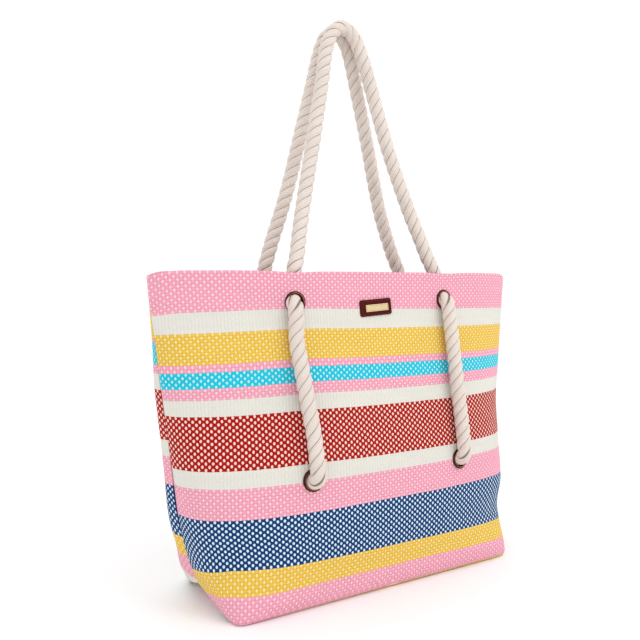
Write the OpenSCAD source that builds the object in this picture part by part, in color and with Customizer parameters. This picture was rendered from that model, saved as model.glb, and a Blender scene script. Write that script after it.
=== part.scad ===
// Striped woven beach tote with two twisted rope handles.
// Frame: origin at the middle of the base, +Z up, the front panel faces -Y, +X to the right.
// Millimetres.

/* [Bag body] */
// Height from the floor to the rim
bag_h = 380; // [360:5:400]
// Width across the two side seams at the rim
bag_w = 538; // [520:2:550]
// Greatest depth of the body, just above the base
bag_d = 178; // [172:1:184]
// Thickness of the woven outer cloth
cloth_t = 1.6; // [1.2:0.1:1.6]
// Thickness of the cotton lining
lining_t = 0.8; // [0.5:0.1:0.8]
// Height of the cloth facing sewn inside the rim
facing_h = 60; // [55:1:64]

/* [Rope] */
// Diameter of the three-strand rope
rope_d = 17; // [14:0.5:17]
// Height of the loops' centreline above the rim
handle_rise = 312; // [290:2:320]
// Diameter of the stopper knots inside the bag
knot_d = 42; // [38:1:44]

/* [Eyelets] */
// Diameter of the eyelet hole
eyelet_hole_d = 19.5; // [19:0.5:20]
// Outer diameter of the visible ring
eyelet_ring_d = 27; // [26:0.5:29]
// Distance of the upper eyelets from the bag's middle plane
upper_x = 112; // [108:1:114]
// Height of the upper eyelets
upper_z = 346; // [344:1:347]
// Distance of the lower eyelets from the bag's middle plane
lower_x = 109; // [107:1:112]
// Height of the lower eyelets
lower_z = 144; // [140:1:148]

/* [Label and closure] */
// Width of the leather patch
patch_w = 47; // [38:0.5:50]
// Height of the leather patch
patch_h = 20; // [16:0.5:24]
// Diameter of the magnetic snap
snap_d = 18; // [14:1:18]
// Thickness of the stiffening board in the base
board_t = 2.5; // [1.5:0.5:2.5]

/* [Hidden] */

kx = bag_w / 538;
ky = bag_d / 178;
kz = bag_h / 380;

// Body sections: height, half width, half depth, front-face exponent, side exponent.
SHAPE = [
    [0,   207, 81, 14,  7],
    [4,   210, 85, 12,  6.5],
    [18,  211, 89, 6.8, 4.2],
    [50,  222, 88, 4.2, 3.2],
    [100, 235, 88, 3.2, 2.6],
    [160, 243, 84, 3.0, 2.0],
    [230, 252, 70, 3.0, 1.7],
    [300, 260, 58, 2.9, 1.6],
    [345, 266, 53.5, 2.8, 1.5],
    [380, 269, 52, 2.8, 1.5]];
LAST = len(SHAPE) - 1;

function slope(i, c) = (SHAPE[i + 1][c] - SHAPE[i][c]) / (SHAPE[i + 1][0] - SHAPE[i][0]);
function tangent(i, c) = i == 0 ? slope(0, c) : i == LAST ? slope(LAST - 1, c)
    : (SHAPE[i + 1][c] - SHAPE[i - 1][c]) / (SHAPE[i + 1][0] - SHAPE[i - 1][0]);
function span_of(z, i = 0) = i >= LAST - 1 || z <= SHAPE[i + 1][0] ? i : span_of(z, i + 1);
// Column c of the section table at height z, on a smooth curve through the rows
function at(z, c) = let (zz = z / kz, i = span_of(zz), w = SHAPE[i + 1][0] - SHAPE[i][0], s = (zz - SHAPE[i][0]) / w)
    (2*s*s*s - 3*s*s + 1) * SHAPE[i][c] + (s*s*s - 2*s*s + s) * w * tangent(i, c)
    + (3*s*s - 2*s*s*s) * SHAPE[i + 1][c] + (s*s*s - s*s) * w * tangent(i + 1, c);

// Quarter section from the side seam (q = 0) to the middle of the front (q = 90), t inside the outer face
function quarter(z, t, q) = [
    (kx * at(z, 1) - 1.4 * t) * pow(max(cos(q), 0), 2 / at(z, 3)),
    (ky * at(z, 2) - t) * pow(max(sin(q), 0), 2 / at(z, 4))];
FINE = 60;
function fine(z, t) = [for (i = [0 : FINE]) quarter(z, t, 90 * i / FINE)];
function lengths(p) = [for (i = 0, s = 0; i < len(p); i = i + 1, s = s + (i < len(p) ? norm(p[i] - p[i - 1]) : 0)) s];
function index_of(c, s, i = 0) = i >= len(c) - 2 || s <= c[i + 1] ? i : index_of(c, s, i + 1);
// The quarter section again, with n + 1 points at equal distances along the cloth
function even(z, t, n) = let (p = fine(z, t), c = lengths(p), all = c[len(c) - 1])
    [for (k = [0 : n]) let (s = all * k / n, i = index_of(c, s), f = (s - c[i]) / (c[i + 1] - c[i])) p[i] + f * (p[i + 1] - p[i])];
// Half section from the left seam over the front to the right seam, kept clear of the seam plane by gap
function half_loop(z, t, n, gap) = let (e = even(z, t, n))
    concat([for (k = [0 : n]) [-e[k][0], -max(e[k][1], gap)]], [for (k = [n - 1 : -1 : 0]) [e[k][0], -max(e[k][1], gap)]]);
function full_loop(z, t, n) = let (e = even(z, t, n))
    concat([for (k = [0 : n]) [-e[k][0], -e[k][1]]], [for (k = [n - 1 : -1 : 0]) [e[k][0], -e[k][1]]],
           [for (k = [1 : n]) [e[k][0], e[k][1]]], [for (k = [n - 1 : -1 : 1]) [-e[k][0], e[k][1]]]);

// Point on the outer face of the front wall, and its outward normal
function wall_y(x, z, t = 0) = -(ky * at(z, 2) - t) * pow(1 - pow(abs(x) / (kx * at(z, 1) - 1.4 * t), at(z, 3)), 1 / at(z, 4));
function wall_n(x, z) = let (a = (wall_y(x + 2, z) - wall_y(x - 2, z)) / 4, b = (wall_y(x, z + 2) - wall_y(x, z - 2)) / 4)
    [a, -1, b] / norm([a, -1, b]);

LEVELS = [0, 3, 9, 18, 34, 50, 75, 100, 130, 160, 195, 230, 265, 300, 330, 355, 380];

// How far inside the outer face the lining and the facing start
LINER = cloth_t + 0.9;

// Closed shell between two offsets of the half section, with its half of the base
module half_shell(t0, t1, zs, n, gap, base0, base1) {
    m = 2 * n + 1;
    L = len(zs);
    z0 = [for (z = zs) max(z * kz, base0)];
    z1 = [for (z = zs) max(z * kz, base1)];
    pts = concat(
        [for (j = [0 : L - 1]) each [for (p = half_loop(z0[j], t0, n, gap)) [p[0], p[1], z0[j]]]],
        [for (j = [0 : L - 1]) each [for (p = half_loop(z1[j], t1, n, gap)) [p[0], p[1], z1[j]]]]);
    o = L * m;
    faces = concat(
        [for (j = [0 : L - 2], i = [0 : m - 2]) each [[j*m + i, (j+1)*m + i, (j+1)*m + i + 1], [j*m + i, (j+1)*m + i + 1, j*m + i + 1]]],
        [for (j = [0 : L - 2], i = [0 : m - 2]) each [[o + j*m + i, o + (j+1)*m + i + 1, o + (j+1)*m + i], [o + j*m + i, o + j*m + i + 1, o + (j+1)*m + i + 1]]],
        [for (i = [0 : m - 2]) each [[(L-1)*m + i, o + (L-1)*m + i, o + (L-1)*m + i + 1], [(L-1)*m + i, o + (L-1)*m + i + 1, (L-1)*m + i + 1]]],
        [for (j = [0 : L - 2]) each [[j*m, o + j*m, o + (j+1)*m], [j*m, o + (j+1)*m, (j+1)*m]]],
        [for (j = [0 : L - 2]) each [[j*m + m - 1, (j+1)*m + m - 1, o + (j+1)*m + m - 1], [j*m + m - 1, o + (j+1)*m + m - 1, o + j*m + m - 1]]],
        [[0, m - 1, o + m - 1], [0, o + m - 1, o]],
        [[for (i = [0 : m - 1]) i]],
        [[for (i = [m - 1 : -1 : 0]) o + i]]);
    polyhedron(pts, faces, convexity = 6);
}

// Closed ring between two offsets of the whole section, with or without a bottom
module ring_shell(t0, t1, zs, n, base0, base1, bottom) {
    m = 4 * n;
    L = len(zs);
    z0 = [for (z = zs) max(z * kz, base0)];
    z1 = [for (z = zs) max(z * kz, base1)];
    pts = concat(
        [for (j = [0 : L - 1]) each [for (p = full_loop(z0[j], t0, n)) [p[0], p[1], z0[j]]]],
        [for (j = [0 : L - 1]) each [for (p = full_loop(z1[j], t1, n)) [p[0], p[1], z1[j]]]]);
    o = L * m;
    faces = concat(
        [for (j = [0 : L - 2], i = [0 : m - 1]) let (k = (i + 1) % m) each [[j*m + i, (j+1)*m + i, (j+1)*m + k], [j*m + i, (j+1)*m + k, j*m + k]]],
        [for (j = [0 : L - 2], i = [0 : m - 1]) let (k = (i + 1) % m) each [[o + j*m + i, o + (j+1)*m + k, o + (j+1)*m + i], [o + j*m + i, o + j*m + k, o + (j+1)*m + k]]],
        [for (i = [0 : m - 1]) let (k = (i + 1) % m) each [[(L-1)*m + i, o + (L-1)*m + i, o + (L-1)*m + k], [(L-1)*m + i, o + (L-1)*m + k, (L-1)*m + k]]],
        bottom ? [[for (i = [0 : m - 1]) i], [for (i = [m - 1 : -1 : 0]) o + i]]
               : [for (i = [0 : m - 1]) let (k = (i + 1) % m) each [[i, k, o + k], [i, o + k, o + i]]]);
    polyhedron(pts, faces, convexity = 8);
}

// Places children on the front wall: their origin on the outer face, +Z along the outward normal, +Y up the wall
module on_wall(x, z) {
    n = wall_n(x, z);
    translate([x, wall_y(x, z), z]) rotate([0, 0, atan2(n[0], -n[1])]) rotate([90 - asin(n[2]), 0, 0]) children();
}
module rear() { mirror([0, 1, 0]) children(); }
module at_eyelets() {
    for (s = [-1, 1]) {
        on_wall(s * upper_x, upper_z) children();
        on_wall(s * lower_x, lower_z) children();
    }
}

barrel_r = eyelet_hole_d / 2 + 0.6;
module eyelet_cut() { translate([0, 0, -8]) cylinder(h = 14, r = barrel_r + 0.4, $fn = 48); }

// Ring with a rounded face, a barrel through the cloth and a lip rolled over the washer
module eyelet() {
    r = eyelet_hole_d / 2;
    rotate_extrude($fn = 64) polygon([[r, -5.7], [r + 2.1, -5.7], [r + 2.1, -5.1], [barrel_r, -5.0], [barrel_r, 0.3],
        [eyelet_ring_d / 2 - 0.3, 0.3], [eyelet_ring_d / 2, 0.7], [eyelet_ring_d / 2 - 0.6, 1.5], [(r + eyelet_ring_d / 2) / 2 + 0.4, 2.0],
        [r + 0.9, 1.6], [r, 0.6]]);
}
module eyelet_washer() {
    rotate_extrude($fn = 64) polygon([[barrel_r + 0.2, -4.9], [14, -4.9], [14.3, -4.5], [14, -4.1], [barrel_r + 0.2, -4.1]]);
}

// Rope: route points are joined by straight runs with round corners
rope_r = rope_d / 2;
BEND = 11;
function unit(v) = v / norm(v);
function corner(a, b, c, r, n) = let (u = unit(a - b), w = unit(c - b), g = acos(max(-1, min(1, u * w))), d = r / tan(g / 2),
    m = unit(u + w), o = b + m * (r / sin(g / 2)), p = b + u * d - o, e = b + w * d - o, all = 180 - g)
    [for (k = [0 : n]) o + (sin(all * (1 - k / n)) * p + sin(all * k / n) * e) / sin(all)];
function route(v, r, n) = concat([v[0]], [for (i = [1 : len(v) - 2]) each corner(v[i - 1], v[i], v[i + 1], r, n)], [v[len(v) - 1]]);
// Frames carried along the route without twist
function cross_unit(a, b) = unit(cross(a, b));
function dir(p, i) = i == 0 ? unit(p[1] - p[0]) : i == len(p) - 1 ? unit(p[i] - p[i - 1]) : unit(unit(p[i + 1] - p[i]) + unit(p[i] - p[i - 1]));
function carried(p, up) = [for (i = 0, u = unit(up - dir(p, 0) * (up * dir(p, 0))); i < len(p);
    i = i + 1, u = i < len(p) ? unit(u - dir(p, i) * (u * dir(p, i))) : u) u];
SIDES = 10;
module tube(p, r, up) {
    L = len(p);
    U = carried(p, up);
    pts = [for (i = [0 : L - 1]) let (w = cross(dir(p, i), U[i])) each [for (k = [0 : SIDES - 1])
        p[i] + r * (cos(360 * k / SIDES) * U[i] + sin(360 * k / SIDES) * w)]];
    faces = concat(
        [for (i = [0 : L - 2], k = [0 : SIDES - 1]) let (q = (k + 1) % SIDES) each
            [[i*SIDES + k, (i+1)*SIDES + k, (i+1)*SIDES + q], [i*SIDES + k, (i+1)*SIDES + q, i*SIDES + q]]],
        [[for (k = [0 : SIDES - 1]) k]], [[for (k = [SIDES - 1 : -1 : 0]) (L - 1) * SIDES + k]]);
    polyhedron(pts, faces, convexity = 10);
}

// Outside run of the front right rope: out through the lower eyelet, up the wall, in through the upper one, up to the rim
FRONT_RUN = [[lower_x, -72.6, lower_z], [lower_x, -95, lower_z], [upper_x, -62, upper_z], [upper_x, -35, upper_z], [105, -36.8, bag_h + 6]];
REAR_RUN = FRONT_RUN;
// Right half of each loop, from the rim to the top of the loop
FRONT_LOOP = [[108, -37, -7], [106, -36.5, 0], [99, -32, 18], [91, -24, 46], [81, -15, 78], [68, -5, 122], [56, 3, 164], [47, 8.6, 200],
              [38, 13.6, 236], [31, 18.4, 266], [25, 21.4, 286], [16, 23.4, 303], [0, 24.2, 312]];
REAR_LOOP = [[108.5, -35.5, -7], [106, -36.5, 0], [98, -40, 22], [90, -42, 44], [77, -43, 80], [65, -42.6, 122], [54, -42.2, 166], [44, -42.2, 204],
             [35, -42.2, 238], [28, -42.2, 266], [22, -42.2, 286], [14, -42.2, 302], [0, -42.2, 310]];
function lifted(p) = [for (v = p) [v[0], v[1], bag_h + v[2] * (v[2] < 0 ? 1 : handle_rise / 312)]];
function mirrored(p) = [for (i = [len(p) - 2 : -1 : 0]) [-p[i][0], p[i][1], p[i][2]]];
// Catmull-Rom curve through the points, two steps a span
function through(p) = [for (i = [0 : len(p) - 2]) each let (a = p[max(i - 1, 0)], b = p[i], c = p[i + 1], d = p[min(i + 2, len(p) - 1)])
    [b, (-a + 9 * b + 9 * c - d) / 16]];
function loop_path(half) = let (p = lifted(half), q = concat(p, mirrored(p))) concat(through(q), [q[len(q) - 1]]);

module rope_run(s) { color([0.93, 0.89, 0.83]) tube([for (p = route(FRONT_RUN, BEND, 5)) [s * p[0], p[1], p[2]]], rope_r, [1, 0, 0]); }
module loop(half) { color([0.93, 0.89, 0.83]) tube(loop_path(half), rope_r, [0, 1, 0]); }
// The loop's ends are cut off level with the rim, where the fixed runs end
module loop_cut() { intersection() { children(); translate([-200, -200, bag_h + 0.05]) cube([400, 400, 500]); } }
module run_cut() { difference() { children(); translate([-200, -200, bag_h - 0.05]) cube([400, 400, 50]); } }

module knot(s) {
    k = knot_d / 42;
    translate([s * lower_x, -72.6, lower_z]) rotate([-90, 0, 0])
        rotate_extrude($fn = 48) polygon([[0, 0], [9, 0], [15 * k, 2.5], [19.5 * k, 9], [21 * k, 17], [19.5 * k, 26], [14.5 * k, 33], [7 * k, 36], [0, 36]]);
}

module rounded_slab(w, h, t, r) {
    linear_extrude(height = t) union() {
        square([w - 2 * r, h], center = true);
        square([w, h - 2 * r], center = true);
        for (x = [-1, 1], y = [-1, 1]) translate([x * (w / 2 - r), y * (h / 2 - r)]) circle(r = r, $fn = 32);
    }
}

module front_panel() {
    color([0.97, 0.62, 0.72]) difference() {
        half_shell(0, cloth_t, LEVELS, 14, 0.1, 0, cloth_t);
        at_eyelets() eyelet_cut();
    }
}
module rear_panel() { color([0.94, 0.77, 0.25]) rear() difference() {
        half_shell(0, cloth_t, LEVELS, 14, 0.1, 0, cloth_t);
        at_eyelets() eyelet_cut();
    }
}
module top_facing() {
    color([0.97, 0.66, 0.75]) difference() {
        ring_shell(LINER, LINER + 1.4, [380 - facing_h / kz, 330, 355, 379.4], 14, 0, 0, false);
        for (s = [-1, 1]) { on_wall(s * upper_x, upper_z) eyelet_cut(); rear() on_wall(s * upper_x, upper_z) eyelet_cut(); }
    }
}
module lining() {
    z = 1.9 + board_t + 0.3;
    color([0.93, 0.91, 0.86]) difference() {
        ring_shell(LINER, LINER + lining_t, [0, 9, 18, 34, 50, 75, 100, 130, 160, 195, 230, 265, 300, 379.4 - facing_h / kz], 14, z, z + lining_t, true);
        for (s = [-1, 1]) { on_wall(s * lower_x, lower_z) eyelet_cut(); rear() on_wall(s * lower_x, lower_z) eyelet_cut(); }
    }
}
// Open-topped pocket on the rear lining
module slip_pocket() {
    t0 = LINER + lining_t + 0.9;
    t1 = t0 + 0.8;
    zs = [for (k = [0 : 5]) 178 + k * 25];
    xs = [for (k = [0 : 8]) -92 + k * 23];
    m = len(xs);
    L = len(zs);
    pts = concat([for (z = zs, x = xs) [x, wall_y(x, z, t0), z]], [for (z = zs, x = xs) [x, wall_y(x, z, t1), z]]);
    o = m * L;
    faces = concat(
        [for (j = [0 : L - 2], i = [0 : m - 2]) each [[j*m + i, (j+1)*m + i, (j+1)*m + i + 1], [j*m + i, (j+1)*m + i + 1, j*m + i + 1]]],
        [for (j = [0 : L - 2], i = [0 : m - 2]) each [[o + j*m + i, o + (j+1)*m + i + 1, o + (j+1)*m + i], [o + j*m + i, o + j*m + i + 1, o + (j+1)*m + i + 1]]],
        [for (i = [0 : m - 2]) each [[(L-1)*m + i, o + (L-1)*m + i, o + (L-1)*m + i + 1], [(L-1)*m + i, o + (L-1)*m + i + 1, (L-1)*m + i + 1]]],
        [for (i = [0 : m - 2]) each [[i, i + 1, o + i + 1], [i, o + i + 1, o + i]]],
        [for (j = [0 : L - 2]) each [[j*m, o + j*m, o + (j+1)*m], [j*m, o + (j+1)*m, (j+1)*m]]],
        [for (j = [0 : L - 2]) each [[j*m + m - 1, (j+1)*m + m - 1, o + (j+1)*m + m - 1], [j*m + m - 1, o + (j+1)*m + m - 1, o + j*m + m - 1]]]);
    color([0.90, 0.88, 0.82]) rear() polyhedron(pts, faces, convexity = 4);
}
module base_board() { color([0.35, 0.36, 0.38]) translate([0, 0, 1.9]) rounded_slab(2 * 207 * kx - 64, 2 * 81 * ky - 22, board_t, 10); }

module front_eyelets() { color([0.27, 0.17, 0.12]) at_eyelets() eyelet(); }
module rear_eyelets() { color([0.27, 0.17, 0.12]) rear() at_eyelets() eyelet(); }
module front_eyelet_washers() { color([0.36, 0.25, 0.17]) at_eyelets() eyelet_washer(); }
module rear_eyelet_washers() { color([0.36, 0.25, 0.17]) rear() at_eyelets() eyelet_washer(); }

module front_rope_left() { run_cut() rope_run(-1); }
module front_rope_right() { run_cut() rope_run(1); }
module rear_rope_left() { rear() run_cut() rope_run(-1); }
module rear_rope_right() { rear() run_cut() rope_run(1); }
module front_handle_loop() { loop_cut() loop(FRONT_LOOP); }
module rear_handle_loop() { rear() loop_cut() loop(REAR_LOOP); }
module front_knots() { color([0.90, 0.85, 0.78]) { knot(-1); knot(1); } }
module rear_knots() { color([0.90, 0.85, 0.78]) rear() { knot(-1); knot(1); } }

module label_patch() { color([0.30, 0.08, 0.09]) on_wall(-2, 337) translate([0, 0, 0.25]) rounded_slab(patch_w, patch_h, 1.8, 3); }
module label_plate() { color([0.83, 0.72, 0.50]) on_wall(-2, 337) translate([0, 0, 2.1]) rounded_slab(patch_w - 13.5, patch_h * 0.42, 0.8, 1); }

// Magnetic snap halves on the inside of the facing
module snap_stud() {
    color([0.55, 0.45, 0.33]) on_wall(0, 352) rotate([180, 0, 0]) translate([0, 0, 4.1]) {
        cylinder(h = 2.2, d = snap_d, $fn = 48);
        translate([0, 0, 2.2]) cylinder(h = 1.6, d = 6, $fn = 32);
    }
}
module snap_socket() {
    color([0.55, 0.45, 0.33]) rear() on_wall(0, 352) rotate([180, 0, 0]) translate([0, 0, 4.1]) difference() {
        cylinder(h = 3.6, d = snap_d, $fn = 48);
        translate([0, 0, 1.8]) cylinder(h = 2, d = 7, $fn = 32);
    }
}

front_panel();
rear_panel();
top_facing();
lining();
slip_pocket();
base_board();
front_eyelets();
rear_eyelets();
front_eyelet_washers();
rear_eyelet_washers();
front_rope_left();
front_rope_right();
rear_rope_left();
rear_rope_right();
front_handle_loop();
rear_handle_loop();
front_knots();
rear_knots();
label_patch();
label_plate();
snap_stud();
snap_socket();
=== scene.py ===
import bpy
import bmesh
import math
import numpy as np
from mathutils import Matrix, Vector


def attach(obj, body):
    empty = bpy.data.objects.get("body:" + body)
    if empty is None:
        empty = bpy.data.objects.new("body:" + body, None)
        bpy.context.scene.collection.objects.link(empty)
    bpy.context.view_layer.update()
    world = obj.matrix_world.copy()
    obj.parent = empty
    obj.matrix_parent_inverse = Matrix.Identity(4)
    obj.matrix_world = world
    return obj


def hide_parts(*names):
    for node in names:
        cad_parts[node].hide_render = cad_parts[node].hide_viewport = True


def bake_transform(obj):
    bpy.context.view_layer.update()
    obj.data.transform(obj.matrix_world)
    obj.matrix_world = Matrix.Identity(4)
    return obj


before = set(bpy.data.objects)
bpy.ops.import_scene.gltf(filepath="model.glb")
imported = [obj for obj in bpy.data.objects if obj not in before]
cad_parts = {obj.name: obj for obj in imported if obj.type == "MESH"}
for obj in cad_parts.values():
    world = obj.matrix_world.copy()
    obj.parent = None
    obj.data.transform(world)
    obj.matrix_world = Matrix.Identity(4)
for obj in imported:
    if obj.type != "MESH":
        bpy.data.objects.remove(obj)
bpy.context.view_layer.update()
MM = 0.001
scene = bpy.context.scene

# ---------------------------------------------------------------- camera
cam_data = bpy.data.cameras.new("camera")
cam_data.lens = 41.89
cam_data.sensor_width = 36
cam_data.clip_end = 30
cam = bpy.data.objects.new("camera", cam_data)
scene.collection.objects.link(cam)
cam.location = (-0.54165, -0.78019, 0.36549)
cam.rotation_euler = (math.radians(90 - 2.781), 0, math.radians(-32.377))
scene.camera = cam

# ---------------------------------------------------------------- body surface (mm)
SHAPE = np.array([
    [0, 200.5, 78.5, 40, 20], [4, 204.5, 83, 22, 12], [18, 209.5, 88, 10, 6.5], [50, 222, 88, 4.2, 3.2], [100, 235, 88, 3.2, 2.6],
    [160, 243, 84, 3.0, 2.0], [230, 252, 70, 3.0, 1.7], [300, 260, 58, 2.9, 1.6], [345, 266, 53.5, 2.8, 1.5], [380, 269, 52, 2.8, 1.5]], float)


def at(z, c):
    Z, V = SHAPE[:, 0], SHAPE[:, c]
    z = np.clip(np.asarray(z, float), 0, 380)
    t = np.empty(len(Z))
    t[1:-1] = (V[2:] - V[:-2]) / (Z[2:] - Z[:-2])
    t[0] = (V[1] - V[0]) / (Z[1] - Z[0])
    t[-1] = (V[-1] - V[-2]) / (Z[-1] - Z[-2])
    i = np.clip(np.searchsorted(Z, z, side="left") - 1, 0, len(Z) - 2)
    w = Z[i + 1] - Z[i]
    s = (z - Z[i]) / w
    return (2*s**3 - 3*s**2 + 1) * V[i] + (s**3 - 2*s**2 + s) * w * t[i] + (3*s**2 - 2*s**3) * V[i + 1] + (s**3 - s**2) * w * t[i + 1]


def wall_y(x, z, t=0.0):
    q = 1 - (np.abs(x) / (at(z, 1) - 1.4 * t)) ** at(z, 3)
    return -(at(z, 2) - t) * np.maximum(q, 0) ** (1 / at(z, 4))


def wall_n(x, z):
    a = (wall_y(x + 2, z) - wall_y(x - 2, z)) / 4
    b = (wall_y(x, z + 2) - wall_y(x, z - 2)) / 4
    n = np.array([a, -1.0, b])
    return n / np.linalg.norm(n)


A = 276  # steps across a panel, two to a warp thread
TZ = np.concatenate([np.arange(0, 24, 1.0), np.arange(24, 381, 2.0), [380.0]])
TZ = np.unique(TZ)


def _table():
    X, Y = np.empty((len(TZ), A + 1)), np.empty((len(TZ), A + 1))
    q = np.radians(np.linspace(0, 90, 721))
    for r, z in enumerate(TZ):
        x = at(z, 1) * np.maximum(np.cos(q), 0) ** (2 / at(z, 3))
        y = at(z, 2) * np.maximum(np.sin(q), 0) ** (2 / at(z, 4))
        s = np.concatenate([[0], np.cumsum(np.hypot(np.diff(x), np.diff(y)))])
        w = np.linspace(0, s[-1], A // 2 + 1)
        xe, ye = np.interp(w, s, x), np.interp(w, s, y)
        X[r] = np.concatenate([-xe, xe[::-1][1:]])
        Y[r] = -np.concatenate([ye, ye[::-1][1:]])
    return X, Y


TX, TY = _table()


def surf(a, z):
    """Point (x, y) on the front wall at column a (0 to A) and height z; arrays of the same shape."""
    a, z = np.broadcast_arrays(np.asarray(a, float), np.clip(np.asarray(z, float), 0, 380))
    r = np.clip(np.searchsorted(TZ, z, side="right") - 1, 0, len(TZ) - 2)
    fr = (z - TZ[r]) / (TZ[r + 1] - TZ[r])
    c = np.clip(np.floor(a).astype(int), 0, A - 1)
    fc = a - c
    out = []
    for T in (TX, TY):
        lo = T[r, c] * (1 - fc) + T[r, c + 1] * fc
        hi = T[r + 1, c] * (1 - fc) + T[r + 1, c + 1] * fc
        out.append(lo * (1 - fr) + hi * fr)
    return out[0], out[1]


def surf_n(a, z):
    """Unit outward normal of the front wall."""
    a = np.asarray(a, float)
    z = np.asarray(z, float)
    a0, a1 = np.clip(a - 1.5, 0, A), np.clip(a + 1.5, 0, A)
    z0, z1 = np.clip(z - 3, 0, 380), np.clip(z + 3, 0, 380)
    xa, ya = surf(a0, z)
    xb, yb = surf(a1, z)
    xc, yc = surf(a, z0)
    xd, yd = surf(a, z1)
    u = np.stack([xb - xa, yb - ya, np.zeros_like(xa)], -1)
    v = np.stack([xd - xc, yd - yc, np.broadcast_to(z1 - z0, xd.shape)], -1)
    n = np.cross(u, v)
    n /= np.linalg.norm(n, axis=-1, keepdims=True)
    return n


def smooth(x):
    x = np.clip(x, 0, 1)
    return x * x * (3 - 2 * x)


def value_noise(x, y, seed):
    """Smooth noise from -1 to 1 on a unit lattice."""
    rng = np.random.default_rng(seed)
    T = rng.uniform(-1, 1, (64, 64))
    xi, yi = np.floor(x).astype(int), np.floor(y).astype(int)
    fx, fy = smooth(x - xi), smooth(y - yi)
    g = lambda i, j: T[i % 64, j % 64]
    return (g(xi, yi) * (1 - fx) + g(xi + 1, yi) * fx) * (1 - fy) + (g(xi, yi + 1) * (1 - fx) + g(xi + 1, yi + 1) * fx) * fy


# ---------------------------------------------------------------- mesh helper
def new_mesh(name, verts, faces, uvs=None, smooth_shade=True, mats=(), face_mat=None):
    """verts in mm; uvs: {map name: one (u, v) per vertex, or per corner as a flat list}."""
    me = bpy.data.meshes.new(name)
    me.from_pydata([tuple(v) for v in (np.asarray(verts, float) * MM).tolist()], [], faces)
    me.update()
    if uvs:
        loops = np.empty(len(me.loops), np.int32)
        me.loops.foreach_get("vertex_index", loops)
        for key, val in uvs.items():
            layer = me.uv_layers.new(name=key)
            val = np.asarray(val, np.float32)
            flat = val[loops] if len(val) == len(verts) else val
            layer.uv.foreach_set("vector", np.ascontiguousarray(flat, np.float32).ravel())
    if smooth_shade:
        me.polygons.foreach_set("use_smooth", np.ones(len(me.polygons), bool))
    for m in mats:
        me.materials.append(m)
    if face_mat is not None:
        me.polygons.foreach_set("material_index", np.asarray(face_mat, np.int32))
    ob = bpy.data.objects.new(name, me)
    scene.collection.objects.link(ob)
    return ob


# ---------------------------------------------------------------- material helper
def lin(r, g, b):
    f = lambda c: c / 12.92 if c <= 0.04045 else ((c + 0.055) / 1.055) ** 2.4
    return (f(r / 255), f(g / 255), f(b / 255), 1.0)


class Sock:
    def __init__(self, m, s):
        self.m, self.s = m, s

    def __add__(self, o): return self.m.math("ADD", self, o)
    def __radd__(self, o): return self.m.math("ADD", o, self)
    def __sub__(self, o): return self.m.math("SUBTRACT", self, o)
    def __rsub__(self, o): return self.m.math("SUBTRACT", o, self)
    def __mul__(self, o): return self.m.math("MULTIPLY", self, o)
    def __rmul__(self, o): return self.m.math("MULTIPLY", o, self)
    def __truediv__(self, o): return self.m.math("DIVIDE", self, o)


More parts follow.
